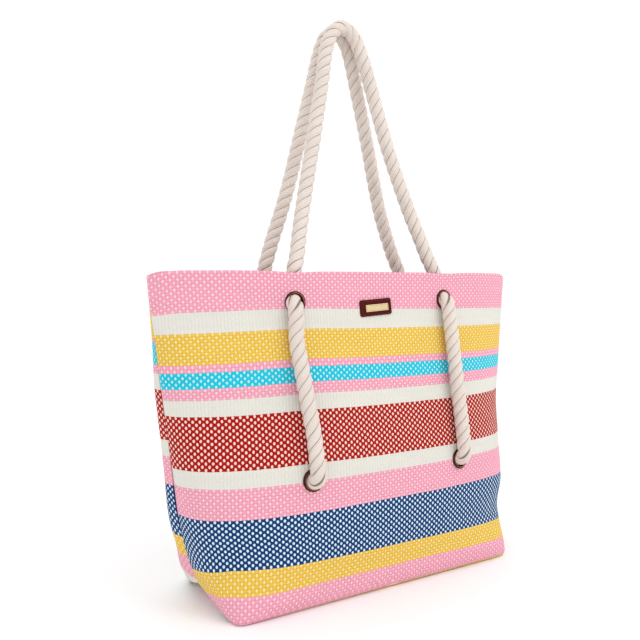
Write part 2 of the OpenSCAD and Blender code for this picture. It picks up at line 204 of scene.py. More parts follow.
class Mat:
    def __init__(self, name, roughness=0.8, metallic=0.0, sheen=0.0, sheen_rough=0.5, specular=0.5, coat=0.0):
        self.mat = bpy.data.materials.new(name)
        self.mat.use_nodes = True
        self.nt = self.mat.node_tree
        self.bsdf = next(n for n in self.nt.nodes if n.type == "BSDF_PRINCIPLED")
        self.bsdf.inputs["Roughness"].default_value = roughness
        self.bsdf.inputs["Metallic"].default_value = metallic
        self.bsdf.inputs["Specular IOR Level"].default_value = specular
        if sheen:
            self.bsdf.inputs["Sheen Weight"].default_value = sheen
            self.bsdf.inputs["Sheen Roughness"].default_value = sheen_rough
        if coat:
            self.bsdf.inputs["Coat Weight"].default_value = coat

    def node(self, kind, **props):
        n = self.nt.nodes.new(kind)
        for k, v in props.items():
            setattr(n, k, v)
        return n

    def put(self, socket, value):
        if isinstance(value, Sock):
            self.nt.links.new(value.s, socket)
        elif value is not None:
            socket.default_value = value

    def math(self, op, *args, clamp=False):
        n = self.node("ShaderNodeMath", operation=op, use_clamp=clamp)
        for i, a in enumerate(args):
            self.put(n.inputs[i], a)
        return Sock(self, n.outputs[0])

    def floor(self, x): return self.math("FLOOR", x)
    def fract(self, x): return self.math("FRACT", x)
    def abs(self, x): return self.math("ABSOLUTE", x)
    def sin(self, x): return self.math("SINE", x)
    def max(self, a, b): return self.math("MAXIMUM", a, b)
    def min(self, a, b): return self.math("MINIMUM", a, b)
    def sqrt(self, x): return self.math("SQRT", x)

    def step(self, lo, hi, x, a=0.0, b=1.0):
        n = self.node("ShaderNodeMapRange", interpolation_type="SMOOTHSTEP")
        self.put(n.inputs["Value"], x)
        for k, v in (("From Min", lo), ("From Max", hi), ("To Min", a), ("To Max", b)):
            n.inputs[k].default_value = v
        return Sock(self, n.outputs["Result"])

    def uv(self, name):
        n = self.node("ShaderNodeUVMap", uv_map=name)
        x = self.node("ShaderNodeSeparateXYZ")
        self.nt.links.new(n.outputs[0], x.inputs[0])
        return Sock(self, x.outputs[0]), Sock(self, x.outputs[1])

    def xyz(self, x, y, z=0.0):
        n = self.node("ShaderNodeCombineXYZ")
        for i, v in enumerate((x, y, z)):
            self.put(n.inputs[i], v)
        return Sock(self, n.outputs[0])

    def obj(self):
        n = self.node("ShaderNodeTexCoord")
        return Sock(self, n.outputs["Object"])

    def noise(self, vec, scale, detail=3.0, rough=0.55, dims="3D"):
        n = self.node("ShaderNodeTexNoise", noise_dimensions=dims)
        self.put(n.inputs["Vector"], vec)
        n.inputs["Scale"].default_value = scale
        n.inputs["Detail"].default_value = detail
        n.inputs["Roughness"].default_value = rough
        return Sock(self, n.outputs["Fac"])

    def voronoi(self, vec, scale, feature="F1"):
        n = self.node("ShaderNodeTexVoronoi", feature=feature)
        self.put(n.inputs["Vector"], vec)
        n.inputs["Scale"].default_value = scale
        return Sock(self, n.outputs["Distance"])

    def white(self, vec):
        n = self.node("ShaderNodeTexWhiteNoise", noise_dimensions="3D")
        self.put(n.inputs["Vector"], vec)
        return Sock(self, n.outputs["Value"])

    def mix(self, f, a, b):
        n = self.node("ShaderNodeMix", data_type="RGBA")
        self.put(n.inputs[0], f)
        self.put(n.inputs[6], a)
        self.put(n.inputs[7], b)
        return Sock(self, n.outputs[2])

    def shade(self, col, f):
        """Colour times a number."""
        n = self.node("ShaderNodeMix", data_type="RGBA", blend_type="MULTIPLY")
        n.inputs[0].default_value = 1.0
        self.put(n.inputs[6], col)
        g = self.node("ShaderNodeCombineColor")
        for i in range(3):
            self.put(g.inputs[i], f)
        self.nt.links.new(g.outputs[0], n.inputs[7])
        return Sock(self, n.outputs[2])

    def ramp(self, fac, stops, interp="CONSTANT"):
        n = self.node("ShaderNodeValToRGB")
        n.color_ramp.interpolation = interp
        e = n.color_ramp.elements
        while len(e) > 1:
            e.remove(e[-1])
        e[0].position, e[0].color = stops[0]
        for p, c in stops[1:]:
            s = e.new(p)
            s.color = c
        self.put(n.inputs[0], fac)
        return Sock(self, n.outputs[0])

    def finish(self, color=None, bump=None, distance=0.0003, strength=1.0, rough=None, normal=None):
        self.put(self.bsdf.inputs["Base Color"], color)
        self.put(self.bsdf.inputs["Roughness"], rough)
        if bump is not None:
            b = self.node("ShaderNodeBump")
            b.inputs["Distance"].default_value = distance
            b.inputs["Strength"].default_value = strength
            self.put(b.inputs["Height"], bump)
            self.nt.links.new(b.outputs[0], self.bsdf.inputs["Normal"])
        return self.mat


# ---------------------------------------------------------------- stripes
PINK, WHITE, YELLOW = lin(240, 157, 180), lin(219, 216, 207), lin(232, 188, 66)
CYAN, RED, BLUE = lin(15, 193, 217), lin(167, 8, 5), lin(6, 56, 109)
# the white warp takes some of the colour of each stripe
DOTS = {"dp": lin(251, 209, 217), "dy": lin(251, 226, 158), "dc": lin(178, 238, 248), "dr": lin(255, 216, 202), "db": lin(218, 238, 253), "dw": WHITE}
NAMES = {"one": (1, 1, 1, 1), "nil": (0, 0, 0, 1), **DOTS, "p": PINK, "w": WHITE, "y": YELLOW, "c": CYAN, "r": RED, "b": BLUE}
# From the rim down: colour, height of its lower edge above the floor, weft threads
FRONT_BANDS = [("p", 332.2, 14), ("w", 312.2, 6), ("y", 278.2, 10), ("p", 269.8, 2), ("c", 249.2, 6), ("p", 239.4, 3), ("w", 221.1, 5),
               ("r", 163.5, 17), ("w", 144.5, 5), ("p", 110.8, 10), ("b", 50.5, 18), ("y", 29.3, 6), ("p", 0.0, 8)]
REAR_BANDS = [("p", 362.2, 5), ("w", 342.2, 6), ("y", 308.2, 10), ("p", 299.8, 2), ("c", 279.2, 6), ("p", 269.4, 3), ("w", 251.1, 5),
              ("r", 193.5, 17), ("w", 174.5, 5), ("p", 141.8, 10), ("b", 87.0, 17), ("y", 66.5, 6), ("p", 40.0, 8), ("w", 0.0, 12)]
# Below the base's edge, in weft threads
FRONT_BELOW = [("y", 9), ("w", 6), ("p", 12)]
REAR_BELOW = [("y", 8), ("w", 6), ("p", 12)]


def cloth_rows(bands):
    """Knots of height against weft count, the rim last."""
    z, v = [0.0], [0.0]
    for i in range(len(bands) - 1, -1, -1):
        v.append(v[-1] + bands[i][2])
        z.append(380.0 if i == 0 else bands[i - 1][1])
    return np.array(z), np.array(v)


def stripe_stops(bands, below, lo=-30.0, span=150.0):
    total = sum(n for _, _, n in bands)
    stops, v = [], float(-sum(n for _, n in below))
    for c, n in reversed(below):
        stops.append(((max(v, lo) - lo) / span, NAMES[c]))
        v += n
    v = 0.0
    for c, _, n in reversed(bands):
        stops.append(((v - lo) / span, NAMES[c]))
        v += n
    first = stops[0]
    stops[0] = (0.0, first[1])
    return stops, total


SKEW_Z = np.array([0, 12, 30, 60, 110, 160, 220, 270, 335, 380], float)
SKEW_K = np.array([0, 0.003, 0.004, 0.012, 0.006, 0.005, 0.011, 0.014, 0.015, 0.0])


def weave_material(name, bands, below):
    m = Mat(name, roughness=0.86, sheen=0.03, sheen_rough=0.5, specular=0.14)
    U, V = m.uv("cloth")
    wob = m.noise(m.xyz(U * 0.22, V * 0.35), 1.0, 2.0)
    wob2 = m.noise(m.xyz(U * 0.35 + 31.7, V * 0.22 + 11.3), 1.0, 2.0)
    u = U + (wob - 0.5) * 0.34
    v = V + (wob2 - 0.5) * 0.30
    i, j = m.floor(u), m.floor(v)
    fx, fy = m.fract(u) - 0.5, m.fract(v) - 0.5
    par = m.math("ABSOLUTE", m.math("MODULO", i + j, 2.0))
    over = m.step(0.49, 0.51, par, 1.0, 0.0)            # 1 where the warp is on top
    rnd = m.white(m.xyz(i, j, 3.0))
    rnd2 = m.white(m.xyz(i, j, 9.0))
    # warp dot
    wx = fx / (0.365 + rnd * 0.06)
    # a warp float reaches a little way into the rows above and below it
    afy = m.abs(fy)
    wy = (afy * over + (1.0 - afy) * (1.0 - over)) / (0.545 + rnd2 * 0.03)
    dw = m.sqrt(wx * wx + wy * wy)
    dot = m.step(0.80, 1.04, dw, 1.0, 0.0)
    # weft float
    gx, gy = fx / 0.78, fy / 0.5
    df = m.sqrt(gx * gx + gy * gy)
    # the stripe, by whole weft threads
    stops, _ = stripe_stops(bands, below)
    up = m.step(-0.01, 0.01, fy) * 2.0 - 1.0
    jd = j + (1.0 - over) * up
    weft = m.ramp((j + 0.5 + 30.0) / 150.0, stops)
    flags, _ = stripe_stops([(("one" if c == "w" else "nil"), a, n) for c, a, n in bands], [(("one" if c == "w" else "nil"), n) for c, n in below])
    plain = m.ramp((j + 0.5 + 30.0) / 150.0, flags)
    dots, _ = stripe_stops([("d" + c, a, n) for c, a, n in bands], [("d" + c, n) for c, n in below])
    warp = m.shade(m.ramp((jd + 0.5 + 30.0) / 150.0, dots), 1.0 - 0.10 * rnd)
    fib = m.noise(m.xyz(U * 2.0, V * 9.0), 1.0, 3.0)
    fibw = m.noise(m.xyz(U * 9.0, V * 2.0, 5.0), 1.0, 3.0)
    tone = m.noise(m.xyz(U * 0.05, V * 0.35, 2.0), 1.0, 3.0)
    weft_s = m.shade(weft, 0.80 + 0.26 * fib + 0.14 * tone)
    warp_s = m.shade(warp, 0.86 + 0.20 * fibw)
    col = m.mix(dot * (1.0 - 0.85 * plain), weft_s, warp_s)
    # white bands read as fine upright ribs, with painted shade in the grooves between the warps
    col = m.shade(col, 1.0 - 0.07 * plain * m.step(0.36, 0.5, m.abs(fx)))
    # painted shade in the grooves: round each dot and in the corners between threads
    ring = m.step(0.84, 1.02, dw) * m.step(1.04, 1.30, dw, 1.0, 0.0)
    corner = m.step(0.30, 0.5, m.abs(fx)) * m.step(0.30, 0.5, m.abs(fy))
    painted_groove_shade = m.max(ring, corner)
    col = m.shade(col, 1.0 - (0.34 - 0.32 * plain) * painted_groove_shade)
    hw = 1.0 - m.min(dw * dw, 1.0)
    hf = (1.0 - m.min(df * df, 1.0)) * (1.0 - over)
    height = m.max(hw * 1.0, hf * 0.8) + 0.10 * fib * (1.0 - over) + 0.10 * fibw * over
    rib = m.step(0.5, 0.12, m.abs(fx)) * 0.5 + 0.06 * fibw
    height = height * (1.0 - 0.75 * plain) + rib * plain
    return m.finish(col, bump=height, distance=0.00055, strength=0.85)


front_mat = weave_material("woven_cloth_front", FRONT_BANDS, FRONT_BELOW)
rear_mat = weave_material("woven_cloth_rear", REAR_BANDS, REAR_BELOW)

# ---------------------------------------------------------------- outer panels
KL, KR = 36, A - 36   # columns where the base's corners are
NS = 36
# middles of the eyelets: front, then rear; the front ones sit a little out of line, as set by hand
EYES = [[(-112.0, 344.4), (112.4, 345.2), (-107.8, 146.4), (111.8, 143.4)],
        [(-112.0, 346.0), (112.0, 346.0), (-109.0, 144.0), (109.0, 144.0)]]


BULGE_Z = [0, 18, 45, 80, 110, 130, 150, 180, 205, 235, 255, 320, 345, 370, 380]
BULGE = [0, 2.6, 4.2, 4.4, 4.2, 4.4, 5.0, 6.6, 7.8, 8.2, 8.2, 5.6, 4.2, 1.6, 0.8]


def dents(x, z, side, a=None):
    """Slow shape of the standing cloth, outwards in mm."""
    g = lambda cx, cz, sx, sz: np.exp(-((x - cx) / sx) ** 2 - ((z - cz) / sz) ** 2)
    d = 0.9 * value_noise(x / 75 + 5.3, z / 90 + 1.7, 11 + side) + 0.5 * value_noise(x / 38, z / 50, 23 + side)
    if side == 0:
        d = d - 2.4 * g(236, 205, 34, 34) + 1.6 * g(205, 95, 60, 40) - 1.4 * g(-20, 30, 150, 20) + 1.0 * g(-120, 80, 80, 40)
        d = d - 1.3 * g(-112, 330, 34, 22) - 1.3 * g(112, 330, 34, 22)
    else:
        d = d - 1.8 * g(-200, 210, 50, 50) + 1.2 * g(60, 100, 90, 50)
        d = d - 1.3 * g(-112, 330, 34, 22) - 1.3 * g(112, 330, 34, 22)
    d = d * smooth(z / 16) * smooth((380 - z) / 8 + 0.35)
    if side == 1 and a is not None:
        # the rear cloth stands out behind the left seam
        s = a * 2.0
        d = d + np.interp(z, BULGE_Z, BULGE) * (0.06 + 0.94 * smooth(s / 16)) * smooth((105 - s) / 75)
    return d


DROOP_Z = [0, 50, 110, 163, 221, 239, 249, 270, 312, 332, 360, 380]
DROOP = [0, 0, 4.0, 4.3, 4.2, 5.6, 7.2, 7.0, 6.6, 7.6, 5.0, 0]


def droop(x, z):
    amp = np.interp(z, DROOP_Z, DROOP)
    return -amp * np.exp(-(x + 268) / 85) + 1.6 * np.exp(-((x + 105) / 55) ** 2) * smooth((z - 120) / 60) * smooth((370 - z) / 30)


def rim_drop(x, side):
    ax = np.abs(x)
    d = -1.6 * np.exp(-((ax - 112) / 24) ** 2) - 5.2 * np.exp(-((ax - 270) / 17.0) ** 2)
    return d + 0.5 * value_noise(x / 45 + 3, x * 0 + 0.5, 5 + side)


def panel(name, side, bands, material, replaced):
    sgn = 1 if side == 0 else -1           # 1: faces -Y
    kz, kv = cloth_rows(bands)
    total = kv[-1]
    V = np.arange(0, int(round(2 * total)) - 1) / 2.0
    rows = [(v, float(np.interp(v, kv, kz)), 0.0) for v in V]
    rows = [r for r in rows if r[1] < 378.0]
    rows += [(float(np.interp(z, kz, kv)), z, t) for z, t in ((378.2, 0.0), (379.1, 0.08), (379.7, 0.32), (380.0, 0.8))]
    nb = len(rows) - 1
    Vr = np.array([r[0] for r in rows])
    Z0 = np.array([r[1] for r in rows])
    T = np.array([r[2] for r in rows])
    a = np.arange(A + 1)
    aa, zz = np.meshgrid(a, Z0)
    vv = np.repeat(Vr[:, None], A + 1, 1)
    x0, _ = surf(aa, zz)
    skew = -np.interp(zz, SKEW_Z, SKEW_K) * x0 * (1 if side == 0 else -0.6)
    # the boxed corners: the base's short edges rise to the side seams, and the wefts dip with them
    s_side = np.clip((KL - np.minimum(aa, A - aa)) / KL, 0, 1)
    lift = 24.0 * s_side
    zb = np.where(zz < 110, lift + zz * (1 - lift / 110), zz)
    dip = 14.0 * s_side * smooth((125 - zb) / 110)
    vn = np.where((s_side > 0) & (zz < 125), np.interp(zb + dip, kz, kv), vv)
    if side == 0:
        skew = skew + droop(x0, zz)
        # the stripes also hang a little at the right seam
        skew = skew - np.interp(zz, [0, 10, 40, 80, 110, 165, 220], [0, 4, 9.5, 7.5, 5, 2.5, 0]) * np.exp(-((A - aa) * 2.0 / 85) ** 2)
    z = zb + skew * smooth(zz / 12)
    z = z + rim_drop(x0, side) * smooth((zz - 300) / 80)
    x, y = surf(aa, z)
    n = surf_n(aa, np.clip(z, 3, 377))
    over_rim = np.maximum(z - 380, 0)
    if side == 1:
        # the rear left corner of the base is tucked in a little
        x = x + 5.5 * smooth((26 - zz) / 26) * np.exp(-((aa - KL) / 20) ** 2) * smooth(aa / 8)
    # relief of the threads, faded out at the edges of the cloth
    i, j = (aa - 1) // 2, np.floor(vv).astype(int)
    odd_a, odd_b = aa % 2 == 1, np.isclose((vv * 2) % 2, 1)
    centre = odd_a & odd_b
    warp_up = (i + j) % 2 == 0
    h = np.where(centre, np.where(warp_up, 0.40, 0.22), np.where(odd_a, 0.02, np.where(odd_b, -0.10, -0.34)))
    band_edges = np.cumsum([0] + [b[2] for b in reversed(bands)])
    letters = [b[0] for b in reversed(bands)]
    which = np.clip(np.searchsorted(band_edges, vv, side="right") - 1, 0, len(bands) - 1)
    white = np.isin(which, [k for k, c in enumerate(letters) if c == "w"])
    h = np.where(white, np.where(odd_a, 0.10, -0.16), h)
    rng = np.random.default_rng(100 + side)
    h = h + rng.uniform(-0.05, 0.05, (len(rows), 1)) + rng.uniform(-0.06, 0.06, (1, A + 1)) + rng.uniform(-0.05, 0.05, h.shape)
    fade = smooth((zz - 2) / 7) * smooth((379.0 - zz) / 3) * smooth(aa / 4) * smooth((A - aa) / 4) * (1 - smooth((np.abs(vn - vv) - 0.05) / 0.4))
    off = -0.30 + (h * fade) + dents(x0, z, side, aa) - T[:, None]
    # each panel turns in towards the seam
    edge = np.minimum(aa, A - aa) * 2.0
    off = off - 0.16 * np.exp(-(edge / 2.2) ** 2) * smooth(zz / 10)
    P = np.stack([x, y, np.minimum(z, 380.0) + over_rim], -1) + n * off[..., None]
    P[..., 2] = np.where(zz < 4, zb + (P[..., 2] - zb) * smooth(zz / 4), P[..., 2])
    P[..., 2] = np.maximum(P[..., 2], 0.0)
    P[0, :, 2] = lift[0]
    P[..., 1] = np.minimum(P[..., 1], -0.04)
    thick = 1.6
    Q = np.stack([x, y, np.minimum(z, 380.0)], -1) + n * (dents(x0, z, side, aa) - thick)[..., None]
    Q[..., 2] = np.minimum(Q[..., 2], P[..., 2] - np.where(zz > 379, 0.5, 0))
    Q[..., 2] = np.where(zz < 6, np.maximum(zb, lift + 1.6), Q[..., 2])
    Q[..., 2] = np.maximum(Q[..., 2], 1.6)
    Q[..., 1] = np.minimum(Q[..., 1], -0.04)
    # base, spread between the wall's lower edge and the seam along the middle
    nf = KR - KL

    def coons(W, zfloor):
        B, L, R = W[0, KL:KR + 1], W[0, KL::-1][:NS + 1], W[0, KR:KR + NS + 1]
        c = np.linspace(0, 1, nf + 1)[None, :, None]
        r = np.linspace(0, 1, NS + 1)[:, None, None]
        F = L[-1] * (1 - c[0]) + R[-1] * c[0]
        S = (1 - r) * B[None] + r * F[None] + (1 - c) * L[:, None] + c * R[:, None]
        S = S - ((1 - r) * ((1 - c) * B[0] + c * B[-1]) + r * ((1 - c) * L[-1] + c * R[-1]))
        near = np.minimum(c, 1 - c)[..., 0] * nf * 2.0
        S[..., 2] = zfloor + 24.0 * r[..., 0] * smooth(1 - near / 40.0)
        S[..., 1] = np.minimum(S[..., 1], -0.04)
        return S

    S, SQ = coons(P, 0.0), coons(Q, 1.6)
    verts, uv, bake, index = [], [], [], {}
    vb = Vr / (total + 24)

    def add(key, p, u, v):
        index[key] = len(verts)
        verts.append((p[0], sgn * p[1], p[2]))
        uv.append((u, v))
        bake.append((0.01 + 0.98 * (u / (A / 2) + 0.5), 0.01 + 0.98 * (v + 24) / (total + 24)))
        return index[key]

    # the crease isn't quite along a weft: a little of the next stripe shows at one end
    tip = (x0[0] * 0.0040 + 0.75) if side == 0 else x0[0] * 0.0
    lean = smooth((8 - Z0) / 8)
    for b in range(nb + 1):
        for k in range(A + 1):
            add(("w", k, b), P[b, k], (k - A / 2) / 2, vn[b, k] - tip[k] * lean[b] * (1 - s_side[b, k]))
    for r in range(1, NS + 1):
        for c in range(nf + 1):
            if r and 0 < c < nf:
                add(("s", c, r), S[r, c], (KL + c - A / 2) / 2, -tip[KL + c] - r * 0.66)

    def outer(kind, k, b):
        if kind == "s":
            if b == 0:
                return index[("w", KL + k, 0)]
            if k == 0:
                return index[("w", KL - b, 0)]
            if k == nf:
                return index[("w", KR + b, 0)]
        return index[(kind, k, b)]

    inner_index = {}

    def inner(kind, k, b):
        if kind == "s":
            if b == 0:
                kind, k, b = "w", KL + k, 0
            elif k == 0:
                kind, k, b = "w", KL - b, 0
            elif k == nf:
                kind, k, b = "w", KR + b, 0
        key = (kind, k, b)
        if key not in inner_index:
            p = Q[b, k] if kind == "w" else SQ[b, k]
            u = (k - A / 2) / 2 if kind == "w" else (KL + k - A / 2) / 2
            v = Vr[b] if kind == "w" else -b * 0.66
            inner_index[key] = add(("i",) + key, p, u, v)
        return inner_index[key]

    gone = np.zeros((nb, A), bool)
    cen = (P[:-1, :-1] + P[1:, :-1] + P[:-1, 1:] + P[1:, 1:]) / 4
    near_eye = np.zeros((nb, A), bool)
    for ex, ez in EYES[side]:
        nn = wall_n(ex, ez)
        v = cen - np.array([ex, float(wall_y(ex, ez)), ez])
        dist = np.linalg.norm(v - (v @ nn)[..., None] * nn, axis=-1)
        gone |= dist < 11.5
        near_eye |= dist < 14.5
    faces = []
    for b in range(nb):
        for k in range(A):
            if not gone[b, k]:
                faces.append((outer("w", k, b), outer("w", k + 1, b), outer("w", k + 1, b + 1), outer("w", k, b + 1)))
    ST = 6
    cols = list(range(0, A + 1, ST))
    rws = list(range(0, nb + 1, ST))
    if rws[-1] != nb:
        rws.append(nb)
    nbi, nki = len(rws) - 1, len(cols) - 1
    fine = np.zeros((nbi + 2, nki + 2), bool)
    for bi in range(nbi):
        for ki in range(nki):
            fine[bi + 1, ki + 1] = near_eye[rws[bi]:rws[bi + 1], cols[ki]:cols[ki + 1]].any()
    for bi in range(nbi):
        b0, b1 = rws[bi], rws[bi + 1]
        for ki in range(nki):
            k0, k1 = cols[ki], cols[ki + 1]
            if fine[bi + 1, ki + 1]:
                for b in range(b0, b1):
                    for k in range(k0, k1):
                        if gone[b, k]:
                            continue
                        faces.append((inner("w", k, b), inner("w", k, b + 1), inner("w", k + 1, b + 1), inner("w", k + 1, b)))
                continue
            loop = [inner("w", k0, b0)]
            loop += [inner("w", k0, b) for b in range(b0 + 1, b1)] if k0 == 0 or fine[bi + 1, ki] else []
            loop += [inner("w", k0, b1)]
            loop += [inner("w", k, b1) for k in range(k0 + 1, k1)] if b1 == nb or fine[bi + 2, ki + 1] else []
            loop += [inner("w", k1, b1)]
            loop += [inner("w", k1, b) for b in range(b1 - 1, b0, -1)] if k1 == A or fine[bi + 1, ki + 2] else []
            loop += [inner("w", k1, b0)]
            loop += [inner("w", k, b0) for k in range(k1 - 1, k0, -1)] if fine[bi, ki + 1] else []
            faces.append(tuple(loop))
    for b, k in zip(*np.nonzero(gone)):
        b, k = int(b), int(k)
        for db, dk, p, q in ((-1, 0, (k + 1, b), (k, b)), (1, 0, (k, b + 1), (k + 1, b + 1)), (0, -1, (k, b), (k, b + 1)), (0, 1, (k + 1, b + 1), (k + 1, b))):
            if not gone[b + db, k + dk]:
                # p to q is the way round of the face that is kept
                faces.append((outer("w", *q), outer("w", *p), inner("w", *p), inner("w", *q)))
    sc = list(range(0, nf + 1, ST))
    for r0 in range(0, NS, ST):
        for ci in range(len(sc) - 1):
            c0, c1, r1 = sc[ci], sc[ci + 1], r0 + ST
            loop = [inner("s", c0, r0), inner("s", c1, r0), inner("s", c1, r1)]
            loop += [inner("s", c, r1) for c in range(c1 - 1, c0, -1)] if r1 == NS else []
            loop += [inner("s", c0, r1)]
            faces.append(tuple(loop))
    ring = [("w", 0, b) for b in range(nb, 0, -1)] + [("s", c, NS) for c in range(nf + 1)] + [("w", A, b) for b in range(1, nb + 1)] + [("w", k, nb) for k in range(A - 1, 0, -1)]
    for p, q in zip(ring, ring[1:] + ring[:1]):
        faces.append((outer(*q), outer(*p), inner(*p), inner(*q)))
    if sgn < 0:
        faces = [f[::-1] for f in faces]
    ob = new_mesh(name, verts, faces, {"cloth": uv, "OFBake": bake}, mats=[material])
    ob.data.set_sharp_from_angle(angle=math.radians(58))
    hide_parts(replaced)
    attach(ob, "bag")
    return ob


front_cloth = panel("front_cloth", 0, FRONT_BANDS, front_mat, "front_panel")
rear_cloth = panel("rear_cloth", 1, REAR_BANDS, rear_mat, "rear_panel")

# ---------------------------------------------------------------- lining, facing, pocket
LINER = 2.5


def facing_material():
    m = Mat("facing_cloth", roughness=0.85, sheen=0.1, specular=0.25)
    U, V = m.uv("cloth")
    i, j = m.floor(U), m.floor(V)
    fx, fy = m.fract(U) - 0.5, m.fract(V) - 0.5
    over = m.step(0.49, 0.51, m.math("ABSOLUTE", m.math("MODULO", i + j, 2.0)), 1.0, 0.0)
    wx, wy = fx / 0.35, fy / 0.5
    dw = m.sqrt(wx * wx + wy * wy)
    dot = m.step(0.78, 1.05, dw, 1.0, 0.0) * over
    fib = m.noise(m.xyz(U * 2.0, V * 9.0), 1.0, 3.0)
    col = m.mix(dot, m.shade(PINK, 0.82 + 0.3 * fib), lin(236, 228, 218))
    corner = m.step(0.3, 0.5, m.abs(fx)) * m.step(0.3, 0.5, m.abs(fy))
    # painted shade in the corners between threads
    col = m.shade(col, 1.0 - 0.3 * corner)
    gx, gy = fx / 0.78, fy / 0.5
    df = m.sqrt(gx * gx + gy * gy)
    h = m.max((1.0 - m.min(dw * dw, 1.0)) * over, (1.0 - m.min(df * df, 1.0)) * (1.0 - over) * 0.8)
    return m.finish(col, bump=h, distance=0.00055, strength=0.9)


def lining_material():
    m = Mat("lining_cotton", roughness=0.9, sheen=0.15, specular=0.2)
    U, V = m.uv("cloth")
    p = m.abs(m.sin(U * math.pi / 0.55)) + 0.0
    q = m.abs(m.sin(V * math.pi / 0.6)) + 0.0
    slub = m.noise(m.xyz(U * 0.03, V * 1.4), 1.0, 4.0)
    slub2 = m.noise(m.xyz(U * 1.6, V * 0.03, 4.0), 1.0, 4.0)
    tone = m.noise(m.xyz(U * 0.02, V * 0.02), 1.0, 4.0)
    col = m.mix(tone, lin(226, 217, 199), lin(236, 229, 214))
    col = m.shade(col, 0.86 + 0.12 * slub + 0.12 * slub2)
    seeds = m.step(0.055, 0.03, m.voronoi(m.xyz(U * 0.11, V * 0.11), 1.0))
    col = m.mix(seeds * 0.35, col, lin(150, 120, 84))
    return m.finish(col, bump=p * q + 0.5 * slub + 0.5 * slub2, distance=0.00018, strength=0.8)


facing_mat, lining_mat = facing_material(), lining_material()


def ring_points(z, t, step, wrinkle=0.0, seed=0):
    """Full ring at heights z (array), t inside the outer face; columns every step of the panel's."""
    cols = np.arange(0, A + 1, step)
    aa, zz = np.meshgrid(cols, z)
    x, y = surf(aa, zz)
    n = surf_n(aa, np.clip(zz, 3, 377))
    out = []
    for side in (0, 1):
        d = dents(x, zz, side, aa)
        w = 0.0
        if wrinkle:
            s = (aa - A / 2) * 2.0
            w = (0.5 + 0.5 * value_noise(s / 26 + 9 * side, zz / 95, seed + side)) * 0.75 + (0.5 + 0.5 * value_noise(s / 11, zz / 40 + 3, seed + 7 + side)) * 0.35
            w = w * wrinkle * smooth(zz / 30) * smooth((322 - zz) / 14) * smooth(np.minimum(aa, A - aa) / 6)
            for ex, ez in EYES[side][2:]:
                w = w * smooth((np.hypot(x - ex, zz - ez) - 16) / 22)
        # the lining stands in a little round the bottom and in the tucked corner
        w = w + 1.4 * smooth((22 - zz) / 14)
        tuck = 5.5 * smooth((26 - zz) / 26) * np.exp(-((aa - KL) / 20) ** 2) * smooth(aa / 8) if side else 0.0
        p = np.stack([x + tuck, y, zz * np.ones_like(x)], -1) + n * (d - t - w)[..., None]
        p[..., 1] = np.minimum(p[..., 1], -0.02)
        rise = 24.0 * np.clip((KL - np.minimum(aa, A - aa)) / KL, 0, 1) * smooth((110 - zz) / 110)
        p[..., 2] = zz + rise + (rim_drop(x, side) - 0.4) * smooth((zz - 300) / 80)
        if side:
            p[..., 1] *= -1
        out.append(p)
    front, rear = out
    mid = (front[:, [0, -1]] + rear[:, [0, -1]]) / 2
    front[:, [0, -1]] = mid
    return np.concatenate([front, rear[:, ::-1][:, 1:-1]], 1)   # left seam, over the front, right seam, back over the rear


